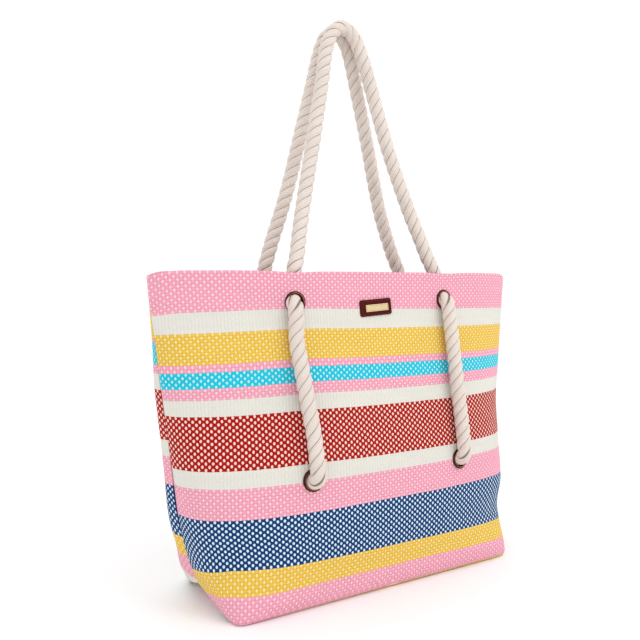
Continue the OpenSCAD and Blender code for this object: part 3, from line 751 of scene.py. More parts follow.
def ring_shell(name, P, Q, bottom, material, uscale, vscale, z, step, replaced):
    """Closed shell between an outer ring P and an inner one Q (rows upwards). bottom: corner column, or None for an open ring."""
    nb, m = P.shape[0], P.shape[1]
    verts = list(P.reshape(-1, 3)) + list(Q.reshape(-1, 3))
    o = nb * m
    half = A // step
    u = np.array([(k if k <= half else 2 * half - k) for k in range(m)], float)
    u = (u * step - A / 2) * uscale
    uv = [(u[k], zz * vscale) for zz in z for k in range(m)] * 2
    faces = []
    for b in range(nb - 1):
        for k in range(m):
            q = (k + 1) % m
            faces.append((b*m + k, b*m + q, (b+1)*m + q, (b+1)*m + k))
            faces.append((o + b*m + k, o + (b+1)*m + k, o + (b+1)*m + q, o + b*m + q))
    t = (nb - 1) * m
    for k in range(m):
        q = (k + 1) % m
        faces.append((t + k, t + q, o + t + q, o + t + k))
    if bottom is None:
        for k in range(m):
            q = (k + 1) % m
            faces.append((k, o + k, o + q, q))
    else:
        kc = bottom
        nf = half - 2 * kc
        ns = 2 * kc
        for layer, W, flip in ((0, P, False), (o, Q, True)):
            # corners: front-left kc, front-right half-kc, rear-right half+kc, rear-left m-kc
            fr = [kc + c for c in range(nf + 1)]
            re = [(m - kc) - c for c in range(nf + 1)]
            le = [(kc - r) % m for r in range(ns + 1)]
            ri = [(half - kc) + r for r in range(ns + 1)]
            ids = np.empty((ns + 1, nf + 1), int)
            c = np.linspace(0, 1, nf + 1)[None, :, None]
            r = np.linspace(0, 1, ns + 1)[:, None, None]
            B, F, L, R = (np.array([W[0, i] for i in s]) for s in (fr, re, le, ri))
            S = (1 - r) * B[None] + r * F[None] + (1 - c) * L[:, None] + c * R[:, None]
            S = S - ((1 - r) * ((1 - c) * B[0] + c * B[-1]) + r * ((1 - c) * F[0] + c * F[-1]))
            near = np.minimum(c, 1 - c)[..., 0] * nf * step * 2.0
            S[..., 2] = B[:, 2].mean() + 24.0 * (1 - np.abs(2 * r[..., 0] - 1)) * smooth(1 - near / 40.0)
            for rr in range(ns + 1):
                for cc in range(nf + 1):
                    if rr == 0:
                        ids[rr, cc] = layer + fr[cc]
                    elif rr == ns:
                        ids[rr, cc] = layer + re[cc]
                    elif cc == 0:
                        ids[rr, cc] = layer + le[rr]
                    elif cc == nf:
                        ids[rr, cc] = layer + ri[rr]
                    else:
                        ids[rr, cc] = len(verts)
                        verts.append(S[rr, cc])
                        uv.append((S[rr, cc][0] * uscale * 0.5, -S[rr, cc][1] * vscale))
            for rr in range(ns):
                for cc in range(nf):
                    f = (ids[rr, cc], ids[rr + 1, cc], ids[rr + 1, cc + 1], ids[rr, cc + 1])
                    faces.append(f[::-1] if flip else f)
    ob = new_mesh(name, np.array(verts), [tuple(int(i) for i in f) for f in faces], {"cloth": uv}, mats=[material])
    if replaced:
        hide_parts(replaced)
    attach(ob, "bag")
    return ob


zf = np.concatenate([np.arange(320, 378, 3.0), [377.6, 378.7, 379.3]])
tf = np.where(zf > 379, 0.45, np.where(zf > 378.5, 0.12, 0.0))
Pf = ring_points(zf, LINER, 2)
Qf = ring_points(zf, LINER + 1.4, 2)
Nf = (Qf - Pf)
Pf = Pf + Nf * tf[:, None, None]
Qf = Qf - Nf * tf[:, None, None]
facing = ring_shell("facing_cloth", Pf, Qf, None, facing_mat, 0.5, 1 / 3.42, zf, 2, "top_facing")
zl = np.concatenate([[4.7, 6.0, 8.0], np.arange(12, 318, 5.0), [319.2]])
Pl = ring_points(zl, LINER, 3)
Ql = ring_points(zl, LINER + 0.8, 3, wrinkle=2.2, seed=41)
# the outer layer follows the wrinkles, 0.8 mm behind
Pl = Ql + (Pl - Ql) * np.minimum(1.0, 0.8 / np.maximum(np.linalg.norm(Pl - Ql, axis=-1, keepdims=True), 1e-6))
Ql[0, :, 2] += 0.8
Ql[1, :, 2] += 0.5
Pl[..., 2] = np.maximum(Pl[..., 2], 4.7)
lining = ring_shell("lining_cloth", Pl, Ql, 12, lining_mat, 2.0, 1.0, zl, 3, "lining")


def holes_in(ob, which, radius=10.6):
    cutter = bpy.data.meshes.new("cutter")
    bm = bmesh.new()
    for side, sgn in ((0, 1), (1, -1)):
        for ex, ez in [EYES[side][i] for i in which]:
            nn = wall_n(ex, ez)
            c = Vector((ex, float(wall_y(ex, ez)), ez))
            mtx = Matrix.Translation(c) @ Vector(nn).to_track_quat("Z", "Y").to_matrix().to_4x4()
            if sgn < 0:
                mtx = Matrix.Diagonal((1, -1, 1, 1)) @ mtx
            bmesh.ops.create_cone(bm, cap_ends=True, segments=48, radius1=radius, radius2=radius, depth=20, matrix=mtx)
    bmesh.ops.scale(bm, vec=(MM, MM, MM), verts=bm.verts)
    bmesh.ops.recalc_face_normals(bm, faces=bm.faces)
    bm.to_mesh(cutter)
    bm.free()
    cut = bpy.data.objects.new("cutter", cutter)
    scene.collection.objects.link(cut)
    mod = ob.modifiers.new("holes", "BOOLEAN")
    mod.operation, mod.object, mod.solver = "DIFFERENCE", cut, "EXACT"
    bpy.context.view_layer.update()
    dg = bpy.context.evaluated_depsgraph_get()
    made = bpy.data.meshes.new_from_object(ob.evaluated_get(dg), preserve_all_data_layers=True, depsgraph=dg)
    ob.modifiers.clear()
    ob.data = made
    bpy.data.objects.remove(cut)
    ob.data.polygons.foreach_set("use_smooth", np.ones(len(ob.data.polygons), bool))


holes_in(facing, (0, 1))
holes_in(lining, (2, 3))

# slip pocket on the rear lining
px = np.linspace(-92, 92, 47)
pz = np.concatenate([np.linspace(178, 300, 40), [301.5, 302.6, 303.0]])
PX, PZ = np.meshgrid(px, pz)
fx_ = (PX + 92) / 184
fz_ = (PZ - 178) / 125
gap = 1.2 + 4.2 * np.sin(np.pi * fx_) ** 1.3 * smooth(fz_ * 1.4) + 0.5 * value_noise(PX / 21, PZ / 33, 77) * np.sin(np.pi * fx_)
t_out = LINER + 0.8 + 1.5 + gap
t_in = t_out + 0.9 + 0.7 * smooth((PZ - 286) / 3) * smooth((305 - PZ) / 3)


def on_rear(x, z, t):
    q = np.clip(1 - (np.abs(x) / (at(z, 1) - 1.4 * t)) ** at(z, 3), 0, 1)
    return (at(z, 2) - t) * q ** (1 / at(z, 4))


def patch(name, X, Z, T0, T1, material, replaced, uv_scale):
    rows, cols = X.shape
    v0 = np.stack([X, on_rear(X, Z, T0), Z], -1).reshape(-1, 3)
    v1 = np.stack([X, on_rear(X, Z, T1), Z], -1).reshape(-1, 3)
    verts = np.concatenate([v0, v1])
    o = rows * cols
    f = []
    for b in range(rows - 1):
        for k in range(cols - 1):
            p = b * cols + k
            f.append((p, p + cols, p + cols + 1, p + 1))
            f.append((o + p, o + p + 1, o + p + cols + 1, o + p + cols))
    for k in range(cols - 1):
        f.append((k, k + 1, o + k + 1, o + k))
        t = (rows - 1) * cols + k
        f.append((t + 1, t, o + t, o + t + 1))
    for b in range(rows - 1):
        p = b * cols
        f.append((p + cols, p, o + p, o + p + cols))
        p = b * cols + cols - 1
        f.append((p, p + cols, o + p + cols, o + p))
    uv = [(x * uv_scale, z * uv_scale) for x, z in zip(X.ravel(), Z.ravel())] * 2
    ob = new_mesh(name, verts, f, {"cloth": uv}, mats=[material])
    if replaced:
        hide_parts(replaced)
    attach(ob, "bag")
    return ob


pocket = patch("pocket_cloth", PX, PZ, t_out, t_in, lining_mat, "slip_pocket", 1.0)


def thread_material(name, colour):
    m = Mat(name, roughness=0.7, sheen=0.2, specular=0.3)
    n = m.noise(m.obj(), 900.0, 2.0)
    return m.finish(m.shade(colour, 0.82 + 0.3 * n), bump=n, distance=0.0001, strength=0.6)


def stitches(name, pts, normals, dash, gap_len, radius, material):
    """Rows of stitches: each a small arched dash that dives into the cloth at both ends. pts: list of polylines in mm."""
    verts, faces = [], []
    for line, nrm in zip(pts, normals):
        line = np.asarray(line, float)
        nrm = np.asarray(nrm, float)
        seg = np.linalg.norm(np.diff(line, axis=0), axis=1)
        s = np.concatenate([[0], np.cumsum(seg)])
        n = max(1, int(s[-1] / (dash + gap_len)))
        pitch = s[-1] / n
        for i in range(n):
            mid = (i + 0.5) * pitch
            ring_ids = []
            for k, f in enumerate(np.linspace(-0.5, 0.5, 6)):
                w = mid + f * dash
                p = np.array([np.interp(w, s, line[:, c]) for c in range(3)])
                nn = np.array([np.interp(w, s, nrm[:, c]) for c in range(3)])
                nn /= np.linalg.norm(nn)
                w2 = min(w + 0.2, s[-1])
                w1 = w2 - 0.4
                tdir = np.array([np.interp(w2, s, line[:, c]) - np.interp(w1, s, line[:, c]) for c in range(3)])
                tdir /= np.linalg.norm(tdir) + 1e-9
                side = np.cross(tdir, nn)
                p = p + nn * (radius * (0.9 - 7.0 * f * f))
                r = radius * (1.0 if 0 < k < 5 else 0.55)
                ids = []
                for q in range(6):
                    an = 2 * math.pi * q / 6
                    ids.append(len(verts))
                    verts.append(p + r * (math.cos(an) * side + math.sin(an) * nn))
                ring_ids.append(ids)
            for a_, b_ in zip(ring_ids, ring_ids[1:]):
                for q in range(6):
                    faces.append((a_[q], a_[(q + 1) % 6], b_[(q + 1) % 6], b_[q]))
            faces.append(tuple(ring_ids[0][::-1]))
            faces.append(tuple(ring_ids[-1]))
    ob = new_mesh(name, np.array(verts), faces, mats=[material])
    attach(ob, "bag")
    return ob


cream_thread = thread_material("cream_thread", lin(232, 226, 212))
xs = np.linspace(-89, 89, 60)
zs = np.linspace(181, 301, 50)


def pocket_face(x, z):
    fx = (x + 92) / 184
    fz = (z - 178) / 125
    g = 1.2 + 4.2 * np.sin(np.pi * fx) ** 1.3 * smooth(fz * 1.4) + 0.5 * value_noise(x / 21, z / 33, 77) * np.sin(np.pi * fx)
    t = LINER + 0.8 + 1.5 + g + 0.9 + 0.7 * smooth((z - 286) / 3) * smooth((305 - z) / 3)
    return np.stack([x, on_rear(x, z, t), z], -1)


lines = [pocket_face(np.full(50, -89.0), zs), pocket_face(xs, np.full(60, 181.0)), pocket_face(np.full(50, 89.0), zs), pocket_face(xs, np.full(60, 288.0))]
stitches("pocket_stitching", lines, [np.tile([0.0, -1.0, 0.0], (len(l), 1)) for l in lines], 2.6, 0.9, 0.32, cream_thread)

# ---------------------------------------------------------------- rope
ROPE_R = 9.2
PITCH = 41.0


def unit(v):
    return v / np.linalg.norm(v)


def corner(a, b, c, r, n):
    u, w = unit(a - b), unit(c - b)
    g = math.acos(max(-1, min(1, float(u @ w))))
    d = r / math.tan(g / 2)
    m = unit(u + w)
    o = b + m * (r / math.sin(g / 2))
    p, e = b + u * d - o, b + w * d - o
    al = math.pi - g
    return [o + (math.sin(al * (1 - k / n)) * p + math.sin(al * k / n) * e) / math.sin(al) for k in range(n + 1)]


def route(v, r, n):
    v = [np.array(x, float) for x in v]
    out = [v[0]]
    for i in range(1, len(v) - 1):
        out += corner(v[i - 1], v[i], v[i + 1], r, n)
    out.append(v[-1])
    return out


RUNS = {1: [[111.5, -72.6, 144], [111.5, -93.5, 144], [111.5, -84, 200], [111, -58, 345.2], [112, -35, 346], [105, -36.8, 386]],
        -1: [[107.5, -72.6, 145.5], [106.5, -93.5, 145.5], [109.5, -86, 200], [119, -65, 300], [116, -57.5, 344.5], [112, -35, 344.5], [105, -36.8, 386]]}
REAR_RUNS = {1: [[109, -72.6, 144.5], [109, -93.5, 144.5], [112, -84, 200], [115.5, -64.5, 300], [113, -57.5, 346], [112, -35, 346], [105, -36.8, 386]],
             -1: [[109, -72.6, 144.5], [109, -93.5, 144.5], [111, -84, 200], [111.5, -58, 346], [112, -35, 346], [105, -36.8, 386]]}
FRONT_LOOP = [[108, -37, -7], [106, -36.5, 0], [99, -32, 18], [91, -24, 46], [81, -15, 78], [68, -5, 122], [56, 3, 164], [47, 8.6, 200],
              [38, 13.6, 236], [31, 18.4, 266], [25, 21.4, 286], [16, 23.4, 303], [0, 24.2, 312]]
REAR_LOOP = [[108.5, -35.5, -7], [106, -36.5, 0], [98, -40, 22], [90, -42, 44], [77, -43, 80], [65, -42.6, 122], [54, -42.2, 166], [44, -42.2, 204],
             [35, -42.2, 238], [28, -42.2, 266], [22, -42.2, 286], [14, -42.2, 302], [0, -42.2, 310]]


def catmull(p, n):
    p = np.asarray(p, float)
    out = []
    for i in range(len(p) - 1):
        a, b, c, d = p[max(i - 1, 0)], p[i], p[i + 1], p[min(i + 2, len(p) - 1)]
        for k in range(n):
            t = k / n
            out.append(0.5 * ((2 * b) + (-a + c) * t + (2*a - 5*b + 4*c - d) * t * t + (-a + 3*b - 3*c + d) * t ** 3))
    out.append(p[-1])
    return np.array(out)


def resample(p, step):
    s = np.concatenate([[0], np.cumsum(np.linalg.norm(np.diff(p, axis=0), axis=1))])
    n = max(2, int(round(s[-1] / step)))
    w = np.linspace(0, s[-1], n + 1)
    return np.stack([np.interp(w, s, p[:, c]) for c in range(3)], 1)


def soften(p, sigma, step):
    k = int(3 * sigma / step)
    w = np.exp(-0.5 * (np.arange(-k, k + 1) * step / sigma) ** 2)
    w /= w.sum()
    pad = np.concatenate([2 * p[0] - p[k:0:-1], p, 2 * p[-1] - p[-2:-k - 2:-1]])
    return np.stack([np.convolve(pad[:, c], w, "valid") for c in range(3)], 1)


def handle_path(loop, sgn):
    ends = {}
    for s_ in (1, -1):
        run = route((RUNS if sgn > 0 else REAR_RUNS)[s_], 9, 10)
        ends[s_] = np.array([p for p in run if not (p[2] > 376 and p[1] > -55)])
    half = np.array(loop[2:], float) + [0, 0, 380]
    full = np.concatenate([half, (half * [-1, 1, 1])[::-1][1:]])
    # the loops lean a little to the right
    up = smooth((full[:, 2] - 380) / 230)
    full = full + up[:, None] * [2.6, 0, 1.4]
    # straight stretches and arcs of the run are dense already; the loop is curved through its points
    a = resample(ends[-1] * [-1, 1, 1], 1.0)
    c = resample(ends[1][::-1], 1.0)
    b = catmull(np.concatenate([[a[-1]], [[-106, -36.5, 380]], full[::-1], [[106, -36.5, 380]], [c[0]]]), 24)
    p = np.concatenate([a[:-1], b, c[1:]])
    p = resample(p, 1.0)
    p = soften(p, 3.0, 1.0)
    p[:, 1] *= sgn
    return p


def frames(p, up):
    t = np.gradient(p, axis=0)
    t /= np.linalg.norm(t, axis=1, keepdims=True)
    u = np.empty_like(p)
    v = np.asarray(up, float)
    for i in range(len(p)):
        v = v - t[i] * (v @ t[i])
        v /= np.linalg.norm(v)
        u[i] = v
    return t, u, np.cross(t, u)


def rope_mesh(name, path, material, R=ROPE_R, pitch=PITCH, step=1.7, sides=18, phase=0.0, strips=4, up=(1, 0, 0), full=()):
    """Three strands laid right-handed round the path; closed, with flat end caps. path in mm."""
    p = resample(path, step)
    t, u, w = frames(p, up)
    s = np.concatenate([[0], np.cumsum(np.linalg.norm(np.diff(p, axis=0), axis=1))])
    verts, faces, uv, bake = [], [], [], []
    n = len(p)
    e, rt, rr = 0.515 * R, 0.58 * R, 0.485 * R     # offset, tangential and radial half widths of a strand
    # squeezed by the eyelets, it fills them
    swell = 1 + 0.06 * sum(np.exp(-(np.linalg.norm(p - np.asarray(f), axis=1) / 9.0) ** 2) for f in full) if len(full) else np.ones(n)
    for k in range(3):
        base = len(verts)
        ang = phase + 2 * math.pi * k / 3 + 2 * math.pi * s / pitch
        rad = np.cos(ang)[:, None] * u + np.sin(ang)[:, None] * w
        tan = -np.sin(ang)[:, None] * u + np.cos(ang)[:, None] * w
        # the strand's own direction leans round the rope; its section is turned to it
        lean = 2 * math.pi * e / pitch
        d = t + tan * lean
        d /= np.linalg.norm(d, axis=1, keepdims=True)
        side_v = np.cross(rad, d)
        for i in range(n):
            c = p[i] + rad[i] * (e * swell[i])
            for q in range(sides):
                an = 2 * math.pi * q / sides
                ca, sa = math.cos(an), math.sin(an)
                # slightly squared on the inside, round outside
                verts.append(c + swell[i] * (rad[i] * (rr * ca) + side_v[i] * (rt * sa * (1.0 - 0.10 * max(-ca, 0)))))
                uv.append((q / sides, s[i]))
        ends = []
        for i in range(n - 1):
            for q in range(sides):
                a_, b_ = base + i * sides, base + (i + 1) * sides
                faces.append((a_ + q, b_ + q, b_ + (q + 1) % sides, a_ + (q + 1) % sides))
        faces.append(tuple(base + q for q in range(sides)))
        faces.append(tuple(base + (n - 1) * sides + q for q in range(sides))[::-1])
    # corner maps: a strand's seam column and the strips of its length
    corner_uv, corner_bake = [], []
    L = s[-1]
    total = 3 * strips
    per = (n - 1) / strips
    for f in faces:
        if len(f) == 4:
            k = f[0] // (n * sides)
            i = (f[0] % (n * sides)) // sides
            q = f[0] % sides
            strip = min(int(i // per), strips - 1)
            row = k * strips + strip
            for vtx in f:
                ii = (vtx % (n * sides)) // sides
                qq = vtx % sides
                qf = qq if not (q == sides - 1 and qq == 0) else sides
                corner_uv.append((qf / sides, s[ii]))
                corner_bake.append(((ii - strip * per) / (per + 1) * 0.98 + 0.01, (row + 0.06 + 0.88 * qf / sides) / total))
        else:
            for vtx in f:
                ii = (vtx % (n * sides)) // sides
                an = 2 * math.pi * (vtx % sides) / sides
                corner_uv.append((0.5 + 0.3 * math.cos(an), s[ii] + 2 * math.sin(an)))
                corner_bake.append((0.004 + 0.003 * math.cos(an), 0.004 + 0.003 * math.sin(an)))
    ob = new_mesh(name, np.array(verts), faces, {"strand": corner_uv, "OFBake": corner_bake}, mats=[material])
    return ob


def rope_material():
    m = Mat("cotton_rope", roughness=0.85, sheen=0.25, sheen_rough=0.45, specular=0.2)
    th, s = m.uv("strand")
    # yarns: a dozen lines round the strand, twisting against the lay
    ph = th * 11.0 + s * (1 / 26.0)
    tri = m.abs(m.fract(ph) - 0.5) * 2.0
    yarn = m.step(0.0, 0.55, tri)
    yid = m.floor(ph)
    ton = m.white(m.xyz(yid, 1.0, 2.0))
    fuzz = m.noise(m.xyz(th * 60.0, s * 0.25), 1.0, 4.0, 0.65)
    fine = m.noise(m.xyz(th * 190.0, s * 0.9, 3.0), 1.0, 3.0, 0.6)
    slow = m.noise(m.obj(), 26.0, 3.0)
    # inner side of a strand, in the groove between strands, darker: painted shade
    painted_groove_shade = m.step(0.300, 0.328, m.abs(th - 0.5), 1.0, 0.0)
    col = m.mix(slow, lin(222, 208, 198), lin(234, 223, 214))
    col = m.shade(col, 0.88 + 0.06 * ton + 0.10 * fuzz)
    # painted shade in the gaps between yarns
    col = m.shade(col, 1.0 - 0.11 * (1.0 - yarn))
    col = m.mix(painted_groove_shade * 0.78, col, lin(112, 90, 76))
    h = yarn * 0.7 + fuzz * 0.35 + fine * 0.25
    return m.finish(col, bump=h, distance=0.0004, strength=0.8)


rope_mat = rope_material()


def knot_path(centre, sgn, a, b, turn, n=220):
    t = np.linspace(0, 2 * math.pi, n)
    x = a * (np.sin(t) + 2 * np.sin(2 * t))
    z = a * (np.cos(t) - 2 * np.cos(2 * t))
    y = -b * np.sin(3 * t)
    c, s = math.cos(turn), math.sin(turn)
    return np.stack([centre[0] + x * c - z * s, centre[1] + sgn * y, centre[2] + x * s + z * c], 1)


for fb, sgn, loop in (("front", 1, FRONT_LOOP), ("rear", -1, REAR_LOOP)):
    path = handle_path(loop, sgn)
    holes = [np.array([ex, sgn * float(wall_y(ex, ez)), ez]) for ex, ez in EYES[0 if sgn > 0 else 1]]
    rope = rope_mesh(f"{fb}_rope", path, rope_mat, phase=0.4 if sgn > 0 else 1.3, full=holes)
    for lr, sx in (("left", -1), ("right", 1)):
        kx, kz = EYES[0 if sgn > 0 else 1][2 if sx < 0 else 3]
        c = np.array([kx, sgn * -57.6, kz])
        kp = knot_path(c, sgn, 4.5, 6.2, 0.5 * sx + 0.3 * sgn)
        tail = np.array([[kx + 2, sgn * -60, 146], [kx + 1, sgn * -50, 145], [kx - 3, sgn * -41, 141], [kx - 4, sgn * -37.5, 139]])
        k1 = rope_mesh(f"{fb}_{lr}_knot", kp, rope_mat, R=7.2, pitch=36.0, step=1.8, sides=14, phase=sx, strips=2, up=(0, 1, 0))
        k2 = rope_mesh(f"{fb}_{lr}_knot_tail", catmull(tail, 8), rope_mat, R=7.6, pitch=38.0, step=1.8, sides=14, phase=sx * 2, strips=1, up=(1, 0, 0))
        for k in (k1, k2):
            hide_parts(f"{fb}_knots")
            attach(k, "bag")
    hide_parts(f"{fb}_rope_left", f"{fb}_rope_right", f"{fb}_handle_loop")
    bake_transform(rope)
    [[float(c) * MM for c in q] for q in resample(path, 8.0)]

# ---------------------------------------------------------------- eyelets
def antique_material():
    m = Mat("antique_brass", roughness=0.38, metallic=1.0)
    r, a = m.uv("ring")
    n = m.noise(m.obj(), 420.0, 4.0)
    n2 = m.noise(m.obj(), 120.0, 3.0)
    # bright copper lines: wear, and a painted highlight on the inner slope of the rolled face, with a fainter one near
    # its outer edge
    wear_and_highlight = m.step(0.10, 0.02, m.abs(r - 0.40 + (n2 - 0.5) * 0.06)) * m.step(0.25, 0.55, n2)
    wear_and_highlight_outer = m.step(0.05, 0.0, m.abs(r - 0.93)) * 0.5
    col = m.mix(n, lin(50, 22, 16), lin(78, 40, 28))
    col = m.mix(m.max(wear_and_highlight, wear_and_highlight_outer), col, lin(205, 142, 96))
    rough = 0.34 + 0.22 * n
    return m.finish(col, bump=n, distance=0.00008, strength=0.5, rough=rough)


antique = antique_material()


def lathe(profile, places, name, material, replaced, segs=96):
    verts, faces, corner_uv = [], [], []
    prof = np.array(profile, float)
    m = len(prof)
    for origin, normal in places:
        rot = np.array(Vector(normal).to_track_quat("Z", "Y").to_matrix())
        o = len(verts)
        for k in range(segs):
            an = 2 * math.pi * k / segs
            for r, w in prof:
                verts.append(np.array(origin) + rot @ np.array([r * math.cos(an), r * math.sin(an), w]))
        for k in range(segs):
            q = (k + 1) % segs
            for i in range(m):
                j = (i + 1) % m
                faces.append((o + k*m + i, o + q*m + i, o + q*m + j, o + k*m + j))
                for kk, ii in ((k, i), (k + 1, i), (k + 1, i + 1), (k, i + 1)):
                    corner_uv.append(((ii - 3) / 14 if 3 <= ii <= 17 else -1.0, kk / segs))
    ob = new_mesh(name, np.array(verts), faces, {"ring": corner_uv}, mats=[material])
    bm = bmesh.new()
    bm.from_mesh(ob.data)
    bmesh.ops.recalc_face_normals(bm, faces=bm.faces)
    bm.to_mesh(ob.data)
    bm.free()
    if replaced:
        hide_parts(replaced)
    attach(ob, "bag")
    return ob


def eye_places(eyes, sgn):
    out = []
    for ex, ez in eyes:
        n = wall_n(ex, ez)
        c = np.array([ex, float(wall_y(ex, ez)), ez])
        d = float(dents(np.array(ex), np.array(ez), 0 if sgn > 0 else 1))
        c = c + n * (d - 0.1)
        out.append((c * [1, sgn, 1], n * [1, sgn, 1]))
    return out


# round the barrel, over the rolled face and back down the outer edge
face = [(9.8, -5.2)] + [(9.75, -3.0), (9.75, -0.6)]
for k in range(15):
    an = math.pi * (1 - k / 14)
    face.append((11.35 + 1.6 * math.cos(an), 0.35 + 1.7 * math.sin(an) ** 0.8))
face += [(12.95, -0.1), (12.7, -0.25), (11.0, -0.25), (10.35, -0.4), (10.3, -5.0), (11.6, -5.2), (11.6, -5.7), (10.1, -5.7)]
for fb, sgn in (("front", 1), ("rear", -1)):
    lathe(face, eye_places(EYES[0 if sgn > 0 else 1], sgn), f"{fb}_eyelet_rings", antique, f"{fb}_eyelets")

# ---------------------------------------------------------------- label
def leather_material():
    m = Mat("maroon_leather", roughness=0.62, specular=0.13)
    v = m.voronoi(m.obj(), 1500.0)
    v2 = m.voronoi(m.obj(), 620.0)
    n = m.noise(m.obj(), 160.0, 5.0)
    col = m.mix(n, lin(62, 3, 1), lin(88, 9, 4))
    col = m.shade(col, 0.80 + 0.35 * v)
    return m.finish(col, bump=v + v2 * 0.6 + n * 0.4, distance=0.00022, strength=0.7, rough=0.55 + 0.2 * n)


def gold_material():
    m = Mat("brushed_gold", roughness=0.3, metallic=1.0)
    U, V = m.uv("plate")
    br = m.noise(m.xyz(U * 0.6, V * 30.0), 1.0, 3.0)
    n = m.noise(m.obj(), 300.0, 3.0)
    # engraved line round the edge
    dx, dy = 15.6 - m.abs(U), 3.1 - m.abs(V)
    e = m.min(dx, dy)
    line = m.step(0.22, 0.08, m.abs(e))
    col = m.mix(n, lin(214, 190, 142), lin(236, 216, 172))
    col = m.mix(line * 0.75, col, lin(92, 64, 38))
    return m.finish(col, bump=br * 0.2 - line, distance=0.00015, strength=0.7, rough=0.24 + 0.16 * br)


def label_frame():
    x, z = -2.0, 337.0
    n = wall_n(x, z)
    c = np.array([x, float(wall_y(x, z)), z])
    d = float(dents(np.array(x), np.array(z), 0))
    right = np.array([1.0, 0.0, 0.0])
    right = unit(right - n * (right @ n))
    up = np.cross(n, right)
    if up[2] < 0:
        up = -up
    return c + n * d, right, up, n


def rounded_outline(w, h, r, per):
    pts = []
    for cx, cy, a0 in ((w/2 - r, h/2 - r, 0), (-w/2 + r, h/2 - r, 90), (-w/2 + r, -h/2 + r, 180), (w/2 - r, -h/2 + r, 270)):
        for k in range(per + 1):
            an = math.radians(a0 + 90 * k / per)
            pts.append((cx + r * math.cos(an), cy + r * math.sin(an)))
    return np.array(pts)


def slab(name, w, h, r, layers, material, replaced, per=8, base=0.0, tilt=0.0, shift=(0, 0)):
    """Rounded slab built of outlines: layers = [(inset, height), ...] from the back edge to the middle of the face."""
    c, right, up, n = label_frame()
    verts, faces, uv = [], [], []
    ct, st = math.cos(tilt), math.sin(tilt)
    rings = []
    for inset, ht in layers:
        o = rounded_outline(w - 2 * inset, h - 2 * inset, max(r - inset, 0.25), per)
        ids = []
        for x, y in o:
            X, Y = x * ct - y * st + shift[0], x * st + y * ct + shift[1]
            ids.append(len(verts))
            verts.append(c + right * X + up * Y + n * (base + ht))
            uv.append((x, y))
        rings.append(ids)
    m = len(rings[0])
    for a_, b_ in zip(rings, rings[1:]):
        for k in range(m):
            q = (k + 1) % m
            faces.append((a_[k], a_[q], b_[q], b_[k]))
    faces.append(tuple(rings[0][::-1]))
    faces.append(tuple(rings[-1]))
    ob = new_mesh(name, np.array(verts), faces, {"plate": uv}, mats=[material])
    if replaced:
        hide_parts(replaced)
    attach(ob, "bag")
    return ob, (c, right, up, n)


leather, gold = leather_material(), gold_material()
patch_layers = [(0.55, 0.0), (0.12, 0.2), (0.0, 0.6), (0.0, 1.1), (0.18, 1.55), (0.6, 1.85), (1.3, 1.98), (2.0, 1.86), (2.7, 1.98), (5.0, 2.08), (8.0, 2.1)]
TILT = math.radians(4)
slab("label_leather", 47.0, 20.0, 3.0, patch_layers, leather, "label_patch", base=0.1, tilt=TILT)
slab("label_plate_metal", 33.5, 8.4, 0.9, [(0.2, 0.0), (0.0, 0.12), (0.0, 0.6), (0.12, 0.78), (0.35, 0.86), (0.9, 0.86), (1.1, 0.80), (2.5, 0.80)], gold, "label_plate", base=2.1, shift=(1.2, -0.4), tilt=TILT)
c, right, up, n = label_frame()
ol = rounded_outline(47.0 - 4.0, 20 - 4.0, 1.6, 6)
ol = np.concatenate([ol, ol[:1]])
ln = np.array([c + right * (x * math.cos(TILT) - y * math.sin(TILT)) + up * (x * math.sin(TILT) + y * math.cos(TILT)) + n * 1.98 for x, y in ol])
maroon_thread = thread_material("maroon_thread", lin(70, 20, 18))
stitches("label_stitching", [ln], [np.tile(n, (len(ln), 1))], 1.9, 0.7, 0.28, maroon_thread)

# ---------------------------------------------------------------- CAD nodes that stay, with better materials
def metal(name, dark, light, rough):
    m = Mat(name, roughness=rough, metallic=1.0)
    a = m.noise(m.obj(), 260.0, 4.0)
    return m.finish(m.mix(a, dark, light), bump=a, distance=0.00006, strength=0.5, rough=rough - 0.08 + 0.2 * a)


washer_mat = metal("washer_brass", lin(84, 56, 36), lin(124, 88, 56), 0.4)
snap_mat = metal("snap_brass", lin(120, 96, 66), lin(160, 132, 94), 0.32)


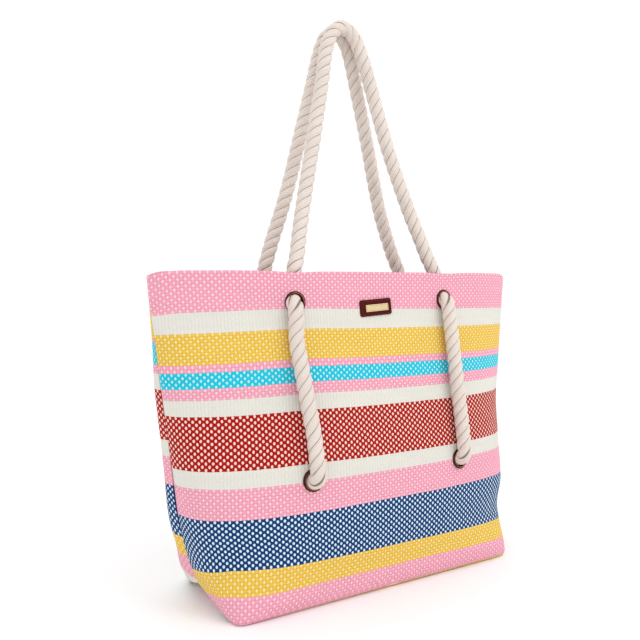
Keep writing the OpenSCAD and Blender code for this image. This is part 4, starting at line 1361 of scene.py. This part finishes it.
def board_material():
    m = Mat("fibre_board", roughness=0.9)
    a = m.noise(m.obj(), 240.0, 6.0, 0.7)
    b = m.noise(m.obj(), 900.0, 3.0)
    return m.finish(m.shade(m.mix(a, lin(120, 106, 88), lin(150, 134, 112)), 0.85 + 0.3 * b), bump=a + b, distance=0.0003, strength=0.6)


board_mat = board_material()
for node, mat in (("front_eyelet_washers", washer_mat), ("rear_eyelet_washers", washer_mat), ("snap_stud", snap_mat), ("snap_socket", snap_mat), ("base_board", board_mat)):
    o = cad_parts[node]
    for s in o.material_slots:
        s.material = mat

# ---------------------------------------------------------------- floor and light
def stage_material():
    m = Mat("stage_white", roughness=0.9, specular=0.1)
    n = m.noise(m.obj(), 3.0, 2.0)
    return m.finish(m.mix(n, (0.955, 0.966, 0.968, 1), (0.97, 0.98, 0.982, 1)))


bm = bmesh.new()
bmesh.ops.create_grid(bm, x_segments=4, y_segments=4, size=12.0)
me = bpy.data.meshes.new("floor")
bm.to_mesh(me)
bm.free()
floor = bpy.data.objects.new("floor", me)
floor.location = (0, 0, -0.0005)
me.materials.append(stage_material())
scene.collection.objects.link(floor)

world = bpy.data.worlds.new("studio")
scene.world = world
world.use_nodes = True
world.node_tree.nodes["Background"].inputs[0].default_value = (1.0, 1.0, 1.0, 1)
world.node_tree.nodes["Background"].inputs[1].default_value = 1.04


def area(name, loc, target, size, power, colour=(1, 1, 1)):
    d = bpy.data.lights.new(name, "AREA")
    d.shape = "RECTANGLE"
    d.size, d.size_y = size
    d.energy = power
    d.color = colour
    o = bpy.data.objects.new(name, d)
    o.location = loc
    o.rotation_euler = (Vector(target) - Vector(loc)).to_track_quat("-Z", "Y").to_euler()
    scene.collection.objects.link(o)
    return o


area("key", (0.9, -1.6, 1.9), (0.0, 0.0, 0.25), (1.2, 1.2), 11)
area("fill", (-1.9, -1.1, 1.1), (0.0, 0.0, 0.25), (1.6, 1.6), 2)
area("top", (0.0, 0.3, 2.2), (0.0, 0.0, 0.2), (1.8, 1.8), 4)
scene.view_settings.view_transform = "Standard"
scene.view_settings.look = "None"
